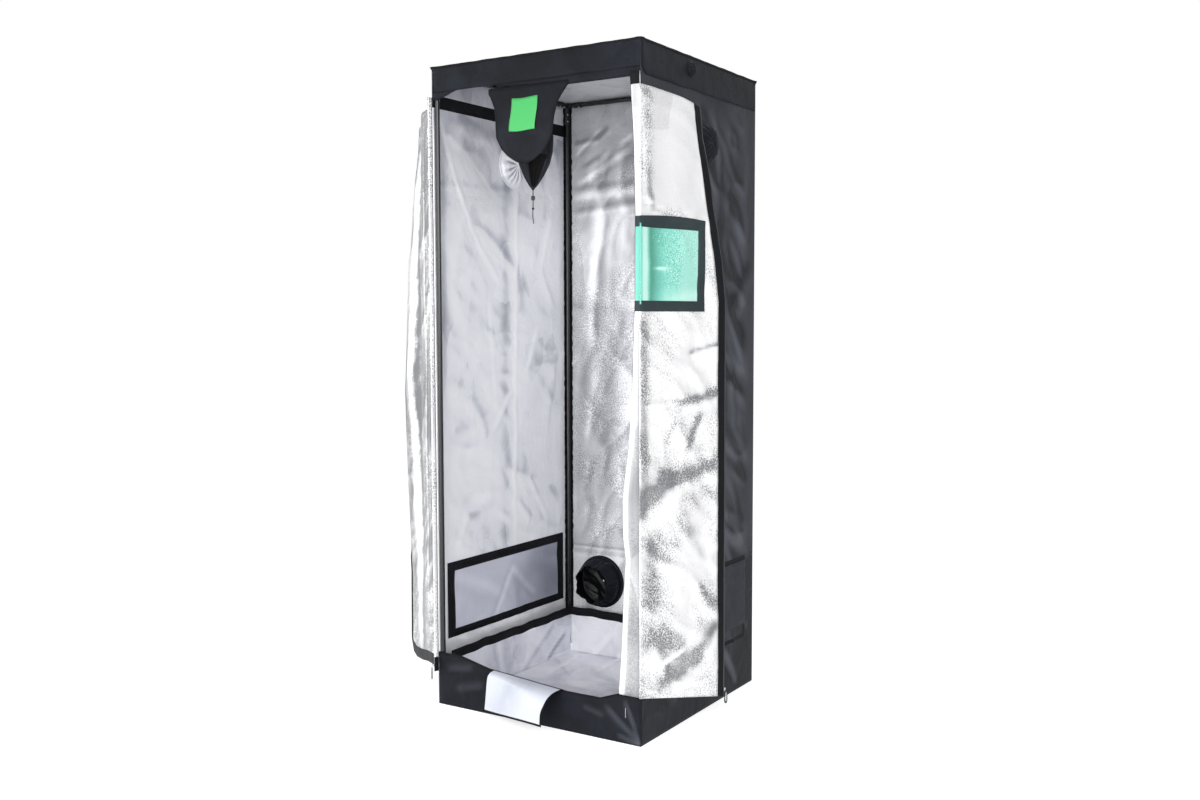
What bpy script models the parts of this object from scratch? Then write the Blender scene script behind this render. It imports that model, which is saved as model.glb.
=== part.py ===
"""Indoor grow tent: a steel pole frame in a silver-lined cloth cover, with two zipped front doors.

Metres, +Z up. The origin is the centre of the base on the floor. The front, with its doors, faces -Y.
Every piece is modelled with both doors open: the left one swung out to the side, the right one laid back
along the right wall.
"""

import math

import bmesh
import bpy
from mathutils import Matrix, Vector

# Overall size of the tent
WIDTH = 0.750
DEPTH = 0.750
HEIGHT = 2.000
HALF_W = WIDTH / 2
HALF_D = DEPTH / 2

# Cloth and the play between touching pieces
CLOTH = 0.0012
GAP = 0.0003
OVERRUN = 0.004

# Pole frame
POLE_R = 0.008
POLE_WALL = 0.001
SLEEVE_WALL = 0.0012
SLEEVE_ARM = 0.065
POLE_STANDOFF = 0.012
SPLIT_Z = 1.011
SPIGOT_LENGTH = 0.060
SPIGOT_PLAY = 0.0004
POLE_SIDES = 12
HUB_SHARE = 0.93

# Hanging bars under the roof
BAR_CLIP_LENGTH = 0.025
FRONT_BAR_Y = -0.220
REAR_BAR_Y = -0.070

# Cover
HEADER_FRONT_DROP = 0.078
HEADER_SIDE_DROP = 0.096
OPENING_TOP = HEIGHT - 0.103
SILL_LEFT_Z = 0.168
SILL_RIGHT_Z = 0.146
SILL_DIP_Z = 0.110
SILL_DIP_X = 0.237
SILL_LEFT_FLAT = 0.095
SILL_RIGHT_FLAT = 0.071
MARGIN_WIDTH = 0.040
MARGIN_LAP = 0.012

# Doors: hinge lines stand proud of the front so that a closed door passes the sill
DOOR_SIDE_STANDOFF = 0.004
DOOR_FRONT_STANDOFF = 0.015
DOOR_MEETING_GAP = 0.009
DOOR_TOP_DROP = 0.025
DOOR_TOP_FALL = 0.034
LEFT_DOOR_BOTTOM = 0.150
RIGHT_DOOR_BOTTOM = 0.152
RIGHT_DOOR_BOTTOM_FALL = 0.014
RIGHT_FALL_RUN = 0.100
LEFT_DOOR_DEG = 142.0
LEFT_DOOR_OPEN_DEG = 120.0
RIGHT_DOOR_DEG = 76.0
SEAM_START = 0.0003
TAPE_WIDTH = 0.030
LEFT_HEM_FOOT = 0.106
RIGHT_SKIRT_ROOT = 0.146
RIGHT_SKIRT_FOOT = 0.072
LEFT_BOW = 0.018
FOLD_DEPTH = 0.009
FOLD_WAVES = 3
CALM_SHARE = 0.25
RIGHT_WAVE_SHARE = 0.5
CUTOUT_DEPTH = 0.592
CUTOUT_RIGHT_SHARES = (
    (0.0, 0.705), (0.05, 0.715), (0.21, 0.74), (0.31, 0.785), (0.46, 0.845), (0.60, 0.89), (0.80, 0.96),
    (1.0, 1.0),
)
CUTOUT_LEFT_SHARES = (
    (0.0, 0.655), (0.05, 0.665), (0.21, 0.70), (0.31, 0.765), (0.46, 0.835), (0.60, 0.89), (0.80, 0.96),
    (1.0, 1.0),
)
BOW_SHARES = ((0.0, 0.0), (0.12, -0.1), (0.30, 0.55), (0.48, 1.0), (0.66, 0.1), (0.80, -0.8), (1.0, -1.7))
HEM_SHARES = (0.0, 0.03, 0.14, 0.27, 0.41, 0.54, 0.68, 0.84, 1.0)
LOW_ROW_SHARES = (0.045, 0.13, 0.24, 0.365, 0.49, 0.61, 0.735, 0.86)
HIGH_ROW_SHARES = (0.22, 0.445, 0.615, 0.78, 0.95)
COLUMN_SHARES = (0.21, 0.42, 0.625, 0.835)

# Window in the right door, placed from the door's top
WINDOW_TOP_DROP = 0.361
WINDOW_HEIGHT = 0.265
WINDOW_OUTER_S = 0.270
WINDOW_STRIP = 0.030
WINDOW_TUCK_S = 0.010
WINDOW_FILM = 0.0006
WINDOW_SEAM_S = 0.0025
WINDOW_LAP = 0.010

# Tongue over the top of the door opening, and the cloth sock behind it
TONGUE_ROOT_LAP = 0.014
TONGUE_LENGTH = 0.217
TONGUE_CENTRE_X = -0.010
TONGUE_HALF_WIDTH = 0.101
TONGUE_STANDOFF = 0.018
TONGUE_BEND_SHARE = 0.6
TONGUE_COLUMNS = 8
TONGUE_EDGE_SHARES = (
    (0.0, 1.42), (0.10, 1.27), (0.22, 1.12), (0.40, 1.05), (0.63, 1.0), (0.78, 0.82), (0.88, 0.60),
    (0.95, 0.36), (1.0, 0.12),
)
SOCK_TOP_DROP = 0.132
SOCK_LENGTH = 0.159
SOCK_CINCH_X = -0.013
SOCK_CINCH_INSET = 0.030
SOCK_LEAN = 0.009
SOCK_HALF_X = 0.058
SOCK_SIDES = 16
SOCK_SHARES = ((0.0, 1.0), (0.30, 1.0), (0.52, 0.86), (0.74, 0.55), (0.90, 0.24), (1.0, 0.0))

# Drawcord of the sock: its route, point by point, and the toggle on it
CORD_R = 0.0011
CORD_ROUTE = (
    (-0.0130, -0.3450, 1.6060), (-0.0130, -0.3450, 1.6020), (-0.0130, -0.3450, 1.5980),
    (-0.0130, -0.3450, 1.5940), (-0.0130, -0.3450, 1.5900), (-0.0130, -0.3450, 1.5860),
    (-0.0130, -0.3450, 1.5820), (-0.0130, -0.3450, 1.5780), (-0.0130, -0.3450, 1.5740),
    (-0.0130, -0.3450, 1.5700), (-0.0130, -0.3450, 1.5660), (-0.0130, -0.3450, 1.5620),
    (-0.0131, -0.3450, 1.5580), (-0.0133, -0.3450, 1.5540), (-0.0135, -0.3450, 1.5490),
    (-0.0138, -0.3450, 1.5440), (-0.0140, -0.3450, 1.5390), (-0.0141, -0.3450, 1.5340),
    (-0.0141, -0.3450, 1.5290), (-0.0138, -0.3450, 1.5240), (-0.0133, -0.3450, 1.5190),
    (-0.0126, -0.3450, 1.5140), (-0.0118, -0.3450, 1.5080),
)
TOGGLE_DROP = 0.0225
TOGGLE_R = 0.0048
TOGGLE_HALF_LENGTH = 0.0055
TOGGLE_PLAY = 0.0004

# Duct ports in the walls
SIDE_PORT_HOLE_R = 0.062
SIDE_PORT_RIM = 0.010
SIDE_PORT_REACH = 0.034
SIDE_PORT_NECK_R = 0.013
LEFT_PORT_Y = 0.045
LEFT_PORT_DROP = 0.255
RIGHT_PORT_Y = 0.010
RIGHT_PORT_DROP = 0.245
BACK_PORT_X = -0.2275
BACK_PORT_Z = 0.270
BACK_PORT_HOLE_R = 0.083
BACK_PORT_RIM = 0.0125
BACK_PORT_MOUTH_R = 0.066
BACK_PORT_REACH = 0.070
BACK_PORT_BEND_SHARE = 0.45
CABLE_PORT_Y = -0.080
CABLE_PORT_DROP = 0.037
CABLE_PORT_R = 0.022
CABLE_PORT_RIM = 0.0036
CABLE_PORT_REACH = 0.014
CABLE_NECK_R = 0.006
PORT_DOME_SHARES = ((0.97, 0.10), (0.86, 0.42), (0.62, 0.78), (0.34, 0.95))
DOME_SINK_SHARE = 0.6
PORT_SIDES = 20

# Vents low in both side walls
VENT_FRONT_Y = -0.290
VENT_BACK_Y = 0.298
VENT_BOTTOM = 0.224
VENT_TOP = 0.414
VENT_BORDER = 0.036
VENT_BORDER_Z = 0.025
COVER_HEAD = 0.005
MESH_SHEET = 0.0006

# Tray on the floor
TRAY_INSET = 0.0235
TRAY_HEIGHT = 0.165
TRAY_FRONT_HEIGHT = 0.092

# Flap sewn to the sill: its profile, forward and up, at its left side and at its right one
FLAP_LEFT_X = -0.155
FLAP_LEFT_Z = 0.1435
FLAP_RIGHT_X = 0.106
FLAP_RIGHT_Z = 0.1235
SEAM_RISE = 0.0009
SEAM_OVERLAP = 0.009
FLAP_DRIFT = -0.014
FLAP_LENGTH = 0.165
FLAP_COLUMNS = 5
FLAP_LEFT_SHARES = (
    (0.0, 0.0), (0.075, -0.012), (0.140, -0.030), (0.188, -0.085), (0.205, -0.20), (0.210, -0.34),
    (0.215, -0.48), (0.222, -0.62), (0.232, -0.74),
)
FLAP_RIGHT_SHARES = (
    (0.0, 0.0), (0.13, 0.0), (0.26, -0.012), (0.37, -0.045), (0.45, -0.10), (0.525, -0.185), (0.590, -0.28),
    (0.60, -0.41), (0.585, -0.54),
)

# Zip sliders
SLIDER_SPAN = 0.009
SLIDER_LENGTH = 0.010
SLIDER_THICK = 0.006
SLIDER_BITE = 0.004
SLIDER_PLAY = 0.0005
PULL_LENGTH = 0.026
PULL_WIDTH = 0.004
PULL_THICK = 0.0016
RIGHT_SLIDER_Z = 0.104
LEFT_SLIDER_S = 0.014

# Worked out from the sizes above
WALL_X = HALF_W - CLOTH - GAP
WALL_Y = HALF_D - CLOTH - GAP
INNER_X = WALL_X - CLOTH
INNER_Y = WALL_Y - CLOTH
BORE_R = POLE_R + GAP
SLEEVE_R = BORE_R + SLEEVE_WALL
POST_X = INNER_X - GAP - SLEEVE_R
POST_Y = INNER_Y - GAP - SLEEVE_R
WALL_FOOT = CLOTH + GAP
WALL_TOP = HEIGHT - CLOTH - GAP
BASE_RAIL_Z = WALL_FOOT + SLEEVE_R
TOP_RAIL_Z = WALL_TOP - SLEEVE_R
DOOR_HINGE_X = HALF_W + DOOR_SIDE_STANDOFF
DOOR_HINGE_Y = -(HALF_D + DOOR_FRONT_STANDOFF)
DOOR_WIDTH = DOOR_HINGE_X - DOOR_MEETING_GAP
DOOR_TOP = OPENING_TOP - DOOR_TOP_DROP
WINDOW_TOP = DOOR_TOP - WINDOW_TOP_DROP
WINDOW_BOTTOM = WINDOW_TOP - WINDOW_HEIGHT
WINDOW_INNER_S = WINDOW_OUTER_S - WINDOW_STRIP
WINDOW_LOW_Z = WINDOW_BOTTOM + WINDOW_STRIP
WINDOW_HIGH_Z = WINDOW_TOP - WINDOW_STRIP
WINDOW_MIDDLE_Z = (WINDOW_LOW_Z + WINDOW_HIGH_Z) / 2
TONGUE_PLANE_Y = -(HALF_D + TONGUE_STANDOFF)
SOCK_TOP_Z = OPENING_TOP - SOCK_TOP_DROP
SOCK_CINCH_Y = -(HALF_D - SOCK_CINCH_INSET)
SOCK_HALF_Y = (SOCK_CINCH_Y - TONGUE_PLANE_Y) - CLOTH / 2 - GAP - CLOTH

# Finishes: colour, roughness, metallic
FINISHES = {
    "black_pole": ((0.020, 0.021, 0.024), 0.35, 0.6),
    "connector_steel": ((0.030, 0.031, 0.034), 0.45, 0.5),
    "black_cloth": ((0.028, 0.029, 0.034), 0.75, 0.0),
    "silver_lining": ((0.62, 0.63, 0.67), 0.35, 0.45),
    "silver_door": ((0.78, 0.78, 0.77), 0.30, 0.45),
    "green_film": ((0.27, 0.80, 0.58), 0.20, 0.0),
    "black_tape": ((0.022, 0.024, 0.028), 0.85, 0.0),
    "white_lining": ((0.88, 0.90, 0.95), 0.40, 0.1),
    "black_mesh": ((0.030, 0.030, 0.032), 0.90, 0.0),
    "zip_metal": ((0.45, 0.45, 0.46), 0.35, 0.9),
    "black_plastic": ((0.018, 0.018, 0.020), 0.40, 0.0),
}


def clear_scene():
    for thing in list(bpy.data.objects):
        bpy.data.objects.remove(thing, do_unlink=True)


def new_collection(name):
    found = bpy.data.collections.new(name)
    bpy.context.scene.collection.children.link(found)
    return found


def finish(name):
    found = bpy.data.materials.get(name)
    if found is None:
        colour, roughness, metallic = FINISHES[name]
        found = bpy.data.materials.new(name)
        found.use_nodes = True
        shader = found.node_tree.nodes["Principled BSDF"]
        shader.inputs["Base Color"].default_value = (*colour, 1.0)
        shader.inputs["Roughness"].default_value = roughness
        shader.inputs["Metallic"].default_value = metallic
        found.diffuse_color = (*colour, 1.0)
    return found


def piece(name, mesh, finish_name, smooth=False):
    """A named object of the tent from a mesh."""
    obj = bpy.data.objects.new(name, mesh)
    mesh.materials.clear()
    mesh.materials.append(finish(finish_name))
    tent.objects.link(obj)
    if smooth:
        mesh.shade_smooth()
        mesh.set_sharp_from_angle(angle=math.radians(40))
    return obj


def cutter(name, mesh):
    obj = bpy.data.objects.new(name, mesh)
    cutters.objects.link(obj)
    obj.hide_render = True
    obj.display_type = "WIRE"
    return obj


def combine(obj, other, operation):
    step = obj.modifiers.new(f"{operation.lower()} {other.name}", "BOOLEAN")
    step.operation = operation
    step.object = other
    step.solver = "EXACT"


def baked(obj):
    """The object with its modifiers made real, as a mesh that copies can share."""
    bpy.context.view_layer.update()
    graph = bpy.context.evaluated_depsgraph_get()
    mesh = bpy.data.meshes.new_from_object(obj.evaluated_get(graph))
    bpy.data.objects.remove(obj, do_unlink=True)
    return mesh


def box_mesh(name, low, high):
    low, high = Vector(low), Vector(high)
    shape = bmesh.new()
    bmesh.ops.create_cube(shape, size=1.0)
    bmesh.ops.scale(shape, vec=high - low, verts=shape.verts)
    bmesh.ops.translate(shape, vec=(low + high) / 2, verts=shape.verts)
    return to_mesh(name, shape)


def to_mesh(name, shape):
    mesh = bpy.data.meshes.new(name)
    shape.to_mesh(mesh)
    shape.free()
    return mesh


def rod_mesh(name, radius, start, end, sides=POLE_SIDES):
    """A solid rod from one point to another."""
    start, end = Vector(start), Vector(end)
    along = end - start
    shape = bmesh.new()
    bmesh.ops.create_cone(
        shape, cap_ends=True, segments=sides, radius1=radius, radius2=radius, depth=along.length
    )
    turn = along.to_track_quat("Z", "Y").to_matrix()
    bmesh.ops.rotate(shape, matrix=turn, verts=shape.verts)
    bmesh.ops.translate(shape, vec=(start + end) / 2, verts=shape.verts)
    return to_mesh(name, shape)


def turned(name, profile, finish_name, sides):
    """A ring turned about Z from a closed profile of (radius, height), listed down its outer side first."""
    shape = bmesh.new()
    corners = [shape.verts.new((radius, 0.0, height)) for radius, height in profile]
    for here, there in zip(corners, corners[1:] + corners[:1]):
        shape.edges.new((here, there))
    obj = piece(name, to_mesh(name, shape), finish_name)
    screw = obj.modifiers.new("turn", "SCREW")
    screw.axis = "Z"
    screw.steps = sides
    screw.render_steps = sides
    screw.use_merge_vertices = True
    screw.merge_threshold = 0.00001
    screw.use_smooth_shade = False
    return obj


def place(obj, at, toward=(0, 0, 1)):
    """Stand an object at a point with its Z axis along a direction."""
    obj.location = at
    obj.rotation_euler = Vector(toward).to_track_quat("Z", "Y").to_euler()
    return obj


def between(table, at):
    """Straight-line reading of a table of (place, value) pairs."""
    for (a, low), (b, high) in zip(table, table[1:]):
        if at <= b:
            return low + (high - low) * max(0.0, at - a) / (b - a)
    return table[-1][1]


def cloth(name, columns, rows, spot, finish_name, kept=None, thickness=CLOTH, side=0.0, closed=False):
    """A sheet whose grid point (column, row) lies at spot(column, row). kept leaves cells out by their middle."""
    across, up = len(columns) - 1, len(rows) - 1
    shape = bmesh.new()
    bmesh.ops.create_grid(shape, x_segments=across, y_segments=up, size=0.5)
    index = {v: (round((v.co.x + 0.5) * across), round((v.co.y + 0.5) * up)) for v in shape.verts}
    if kept is not None:
        gone = []
        for face in shape.faces:
            i = min(index[v][0] for v in face.verts)
            j = min(index[v][1] for v in face.verts)
            if not kept((columns[i] + columns[i + 1]) / 2, (rows[j] + rows[j + 1]) / 2):
                gone.append(face)
        bmesh.ops.delete(shape, geom=gone, context="FACES")
    for vert in shape.verts:
        i, j = index[vert]
        vert.co = spot(columns[i], rows[j])
    if closed:
        bmesh.ops.remove_doubles(shape, verts=shape.verts, dist=0.00001)
    obj = piece(name, to_mesh(name, shape), finish_name)
    wall = obj.modifiers.new("thickness", "SOLIDIFY")
    wall.thickness = thickness
    wall.offset = side
    wall.use_even_offset = True
    return obj


def frame_poles():
    """Posts in two lengths each, the rails between them and the three-way corner connectors."""
    inner = POLE_R - POLE_WALL
    spigot = inner - SPIGOT_PLAY
    foot, head = BASE_RAIL_Z + POLE_STANDOFF, TOP_RAIL_Z - POLE_STANDOFF
    start = SPLIT_Z + GAP
    for x_name, x_side in (("left", -1), ("right", 1)):
        for y_name, y_side in (("front", -1), ("back", 1)):
            corner = (x_side * POST_X, y_side * POST_Y, 0.0)
            lower = turned(
                f"{y_name}_{x_name}_lower_post",
                (
                    (spigot, SPLIT_Z + SPIGOT_LENGTH), (spigot, SPLIT_Z), (POLE_R, SPLIT_Z), (POLE_R, foot),
                    (inner, foot), (inner, SPLIT_Z - SPIGOT_LENGTH), (spigot - POLE_WALL, SPLIT_Z - POLE_R),
                    (spigot - POLE_WALL, SPLIT_Z + SPIGOT_LENGTH),
                ),
                "black_pole", POLE_SIDES,
            )
            lower.location = corner
            upper = turned(
                f"{y_name}_{x_name}_upper_post",
                ((POLE_R, head), (POLE_R, start), (inner, start), (inner, head)),
                "black_pole", POLE_SIDES,
            )
            upper.location = corner
    for level, height in (("base", BASE_RAIL_Z), ("top", TOP_RAIL_Z)):
        for y_name, y_side in (("front", -1), ("back", 1)):
            rail = tube(f"{y_name}_{level}_rail", POST_X - POLE_STANDOFF)
            place(rail, (0.0, y_side * POST_Y, height), (1, 0, 0))
        for x_name, x_side in (("left", -1), ("right", 1)):
            rail = tube(f"{x_name}_{level}_rail", POST_Y - POLE_STANDOFF)
            place(rail, (x_side * POST_X, 0.0, height), (0, 1, 0))


def tube(name, half):
    inner = POLE_R - POLE_WALL
    profile = ((POLE_R, half), (POLE_R, -half), (inner, -half), (inner, half))
    return turned(name, profile, "black_pole", POLE_SIDES)


def corner_connectors():
    """Three sleeves on one hub. The first is made whole, and the other seven share its mesh, mirrored."""
    hub = SLEEVE_R * HUB_SHARE
    cube = box_mesh("connector", (-hub, -hub, -hub), (hub, hub, hub))
    master = piece("connector_master", cube, "connector_steel")
    helpers = []
    for axis in ((1, 0, 0), (0, 1, 0), (0, 0, 1)):
        way = Vector(axis)
        arm = cutter("arm", rod_mesh("arm", SLEEVE_R, way * 0, way * SLEEVE_ARM))
        combine(master, arm, "UNION")
        helpers.append(arm)
    for axis in ((1, 0, 0), (0, 1, 0), (0, 0, 1)):
        way = Vector(axis)
        start = way * (POLE_STANDOFF - GAP)
        bore = cutter("bore", rod_mesh("bore", BORE_R, start, way * (SLEEVE_ARM + OVERRUN)))
        combine(master, bore, "DIFFERENCE")
        helpers.append(bore)
    mesh = baked(master)
    for helper in helpers:
        bpy.data.objects.remove(helper, do_unlink=True)
    for level, z_side, height in (("base", 1, BASE_RAIL_Z), ("top", -1, TOP_RAIL_Z)):
        for y_name, y_side in (("front", -1), ("back", 1)):
            for x_name, x_side in (("left", -1), ("right", 1)):
                obj = bpy.data.objects.new(f"{y_name}_{x_name}_{level}_connector", mesh)
                tent.objects.link(obj)
                obj.location = (x_side * POST_X, y_side * POST_Y, height)
                obj.scale = (-x_side, -y_side, z_side)


def hanging_bars():
    """Cross bars whose end clips ring the side top rails, so that they slide from front to back."""
    inside = POLE_R - POLE_WALL
    for name, y in (("front_hanging_bar", FRONT_BAR_Y), ("rear_hanging_bar", REAR_BAR_Y)):
        ends = (-POST_X, y, TOP_RAIL_Z), (POST_X, y, TOP_RAIL_Z)
        bar = piece(name, rod_mesh(name, POLE_R, *ends), "black_pole")
        near, far = y - BAR_CLIP_LENGTH / 2, y + BAR_CLIP_LENGTH / 2
        for x in (-POST_X, POST_X):
            ring = rod_mesh("ring", SLEEVE_R, (x, near, TOP_RAIL_Z), (x, far, TOP_RAIL_Z))
            combine(bar, cutter(f"{name}_ring", ring), "UNION")
        near, far = near - OVERRUN, far + OVERRUN
        for x in (-POST_X, POST_X):
            hole = rod_mesh("hole", BORE_R, (x, near, TOP_RAIL_Z), (x, far, TOP_RAIL_Z))
            combine(bar, cutter(f"{name}_hole", hole), "DIFFERENCE")
        combine(bar, cutter(f"{name}_bore", rod_mesh("bore", inside, *ends)), "DIFFERENCE")


def cover_shell():
    """Roof, walls, floor, header band, the strip over the opening and the sill under it."""
    roof = box_mesh("roof", (-HALF_W, -HALF_D, HEIGHT - CLOTH), (HALF_W, HALF_D, HEIGHT))
    piece("roof_panel", roof, "black_cloth")
    base = box_mesh("base", (-WALL_X, -WALL_Y, 0), (WALL_X, WALL_Y, CLOTH))
    piece("base_panel", base, "black_cloth")
    for name, side, y, z in side_ports():
        low_x, high_x = sorted((side * WALL_X, side * INNER_X))
        panel = box_mesh("wall", (low_x, -WALL_Y, WALL_FOOT), (high_x, WALL_Y, WALL_TOP))
        wall = piece(f"{name}_wall", panel, "silver_lining")
        far_x = side * (WALL_X + OVERRUN)
        near_x = side * (INNER_X - OVERRUN)
        hole = rod_mesh("hole", SIDE_PORT_HOLE_R, (near_x, y, z), (far_x, y, z), PORT_SIDES)
        combine(wall, cutter(f"{name}_port_hole", hole), "DIFFERENCE")
        low_x, high_x = sorted((near_x, far_x))
        vent = box_mesh("vent", (low_x, VENT_FRONT_Y, VENT_BOTTOM), (high_x, VENT_BACK_Y, VENT_TOP))
        combine(wall, cutter(f"{name}_vent_hole", vent), "DIFFERENCE")
    across = INNER_X - GAP
    panel = box_mesh("back", (-across, INNER_Y, WALL_FOOT), (across, WALL_Y, WALL_TOP))
    back = piece("back_wall", panel, "silver_lining")
    near, far = INNER_Y - OVERRUN, WALL_Y + OVERRUN
    ends = (BACK_PORT_X, near, BACK_PORT_Z), (BACK_PORT_X, far, BACK_PORT_Z)
    hole = rod_mesh("hole", BACK_PORT_HOLE_R, *ends, PORT_SIDES)
    combine(back, cutter("back_port_hole", hole), "DIFFERENCE")
    strip = box_mesh("strip", (-across, -WALL_Y, OPENING_TOP), (across, -INNER_Y, WALL_TOP))
    piece("opening_strip", strip, "black_cloth")
    header_band()
    sill()


def side_ports():
    """Name, side, and centre of the drawn-up port in each side wall."""
    return (
        ("left", -1, LEFT_PORT_Y, HEIGHT - LEFT_PORT_DROP),
        ("right", 1, RIGHT_PORT_Y, HEIGHT - RIGHT_PORT_DROP),
    )


def header_band():
    shape = bmesh.new()
    bmesh.ops.create_cube(shape, size=1.0)
    caps = [face for face in shape.faces if abs(face.normal.z) > 0.5]
    bmesh.ops.delete(shape, geom=caps, context="FACES_ONLY")
    for vert in shape.verts:
        drop = HEADER_FRONT_DROP if vert.co.y < 0 else HEADER_SIDE_DROP
        vert.co.z = WALL_TOP if vert.co.z > 0 else HEIGHT - drop
        vert.co.x *= WIDTH
        vert.co.y *= DEPTH
    obj = piece("header_band", to_mesh("header_band", shape), "black_cloth")
    wall = obj.modifiers.new("thickness", "SOLIDIFY")
    wall.thickness = CLOTH
    wall.offset = -1.0
    wall.use_even_offset = True


def flap_hinge_z(x):
    slope = (FLAP_RIGHT_Z - FLAP_LEFT_Z) / (FLAP_RIGHT_X - FLAP_LEFT_X)
    return FLAP_LEFT_Z + slope * (x - FLAP_LEFT_X)


def sill_edge():
    """Points (across, height) of the sill's top edge, from the left corner to the right one."""
    left_end, right_end = FLAP_LEFT_X - SEAM_OVERLAP, FLAP_RIGHT_X + SEAM_OVERLAP
    return (
        (-HALF_W, SILL_LEFT_Z),
        (SILL_LEFT_FLAT - HALF_W, SILL_LEFT_Z),
        (left_end, flap_hinge_z(left_end) - SEAM_RISE),
        (right_end, flap_hinge_z(right_end) - SEAM_RISE),
        (SILL_DIP_X, SILL_DIP_Z),
        (HALF_W - SILL_RIGHT_FLAT, SILL_RIGHT_Z),
        (HALF_W, SILL_RIGHT_Z),
    )


SILL_EDGE = sill_edge()


def sill_top(x):
    """Height of the sill's top edge: it dips from the left post, and the flap is sewn along its middle."""
    return between(SILL_EDGE, x)


def sill():
    across = INNER_X - GAP
    columns = [-across, *(x for x, _ in SILL_EDGE[1:-1]), across]
    middle = -(WALL_Y + INNER_Y) / 2
    cloth(
        "sill_panel", columns, [0.0, 1.0],
        lambda x, up: (x, middle, WALL_FOOT + (sill_top(x) - WALL_FOOT) * up),
        "black_cloth",
    )


def front_margins():
    """Cloth strips from the front corner of each side wall to its door's seam, clear of the door at its widest."""
    plane = -(WALL_Y + GAP + CLOTH / 2)
    foot, head = LEFT_HEM_FOOT, OPENING_TOP + MARGIN_LAP
    for name, side, finish_name in (
        ("left_hinge_margin", -1, "black_cloth"), ("right_hinge_margin", 1, "silver_door"),
    ):
        hinge, _, _ = door_frame(side)
        turn = math.radians(LEFT_DOOR_OPEN_DEG if side < 0 else RIGHT_DOOR_DEG)
        opened = Vector((math.cos(turn), math.sin(turn), 0.0))
        edge = Vector((side * (WALL_X - CLOTH / 2), plane, 0.0))
        way = edge - hinge
        sharp = way.angle(opened)
        short = (CLOTH / 2 * (1 + math.cos(sharp)) + GAP) / math.sin(sharp)
        stop = hinge + way.normalized() * short
        route = [edge, stop]
        if side > 0:
            route.insert(0, Vector((HALF_W - MARGIN_WIDTH, plane, 0.0)))
        cloth(
            name, list(range(len(route))), [foot, head],
            lambda i, z, route=route: (route[i].x, route[i].y, z), finish_name,
        )


def door_frame(side):
    """Hinge point, direction away from the hinge and direction of the silver lining, for side -1 or 1."""
    turn = math.radians(LEFT_DOOR_DEG if side < 0 else RIGHT_DOOR_DEG)
    along = Vector((math.cos(turn), math.sin(turn), 0.0))
    lining = Vector((side * along.y, -side * along.x, 0.0))
    return Vector((side * DOOR_HINGE_X, DOOR_HINGE_Y, 0.0)), along, lining


def door_reach(side, z):
    """Width of the door at a height: full below the cut-out round the tongue, less beside it."""
    shares = CUTOUT_LEFT_SHARES if side < 0 else CUTOUT_RIGHT_SHARES
    return DOOR_WIDTH * between(shares, (DOOR_TOP - z) / CUTOUT_DEPTH)


def door_bottom(side, s):
    if side < 0:
        return LEFT_DOOR_BOTTOM
    return RIGHT_DOOR_BOTTOM - RIGHT_DOOR_BOTTOM_FALL * min(1.0, s / RIGHT_FALL_RUN)


def door_fold(side, s, z):
    """How far the hanging cloth stands off its hinge plane, towards the lining."""
    t = s / DOOR_WIDTH
    up = (z - RIGHT_DOOR_BOTTOM) / (DOOR_TOP - RIGHT_DOOR_BOTTOM)
    calm = min(1.0, max(0.0, up) / CALM_SHARE)
    waves = math.sin(math.pi * t) * math.sin(FOLD_WAVES * math.pi * t) * FOLD_DEPTH * calm
    if side < 0:
        return waves + LEFT_BOW * between(BOW_SHARES, up) * t * t
    return -waves * RIGHT_WAVE_SHARE - FOLD_DEPTH * math.sin(math.pi * t) * calm


def door_spot(side, s, z, proud=0.0):
    hinge, along, lining = door_frame(side)
    flat = hinge + along * s + lining * (door_fold(side, s, z) + proud)
    return Vector((flat.x, flat.y, z))


def door_rows():
    """Heights of the rows between a door's bottom and top, with two on the window's edges."""
    low_run, high_run = WINDOW_LOW_Z - RIGHT_DOOR_BOTTOM, DOOR_TOP - DOOR_TOP_FALL - WINDOW_HIGH_Z
    low = [RIGHT_DOOR_BOTTOM + low_run * share for share in LOW_ROW_SHARES]
    high = [WINDOW_HIGH_Z + high_run * share for share in HIGH_ROW_SHARES]
    return [*low, WINDOW_LOW_Z, WINDOW_MIDDLE_Z, WINDOW_HIGH_Z, *high]


def door_columns():
    """Distances from the hinge of the columns that stay put at every height."""
    inside = [WINDOW_INNER_S * share for share in COLUMN_SHARES]
    return [SEAM_START, WINDOW_TUCK_S, *inside, WINDOW_INNER_S]


FIXED_S = door_columns()
DOOR_ROWS = door_rows()


def door_column(side, column, z):
    """Distance from the hinge of a column: the fixed ones stay put, and the last two follow the free edge."""
    limit = door_reach(side, z) - TAPE_WIDTH
    squeeze = min(1.0, (limit - TAPE_WIDTH / 2) / WINDOW_INNER_S)
    if column < len(FIXED_S):
        return FIXED_S[column] * squeeze
    last = WINDOW_INNER_S * squeeze
    return last + (limit - last) * (column - len(FIXED_S) + 1) / 2


def door_level(side, row, s):
    if row == 0:
        return door_bottom(side, s)
    if row > len(DOOR_ROWS):
        return DOOR_TOP - DOOR_TOP_FALL * (s / door_reach(side, DOOR_TOP)) ** 2
    return DOOR_ROWS[row - 1]


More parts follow.
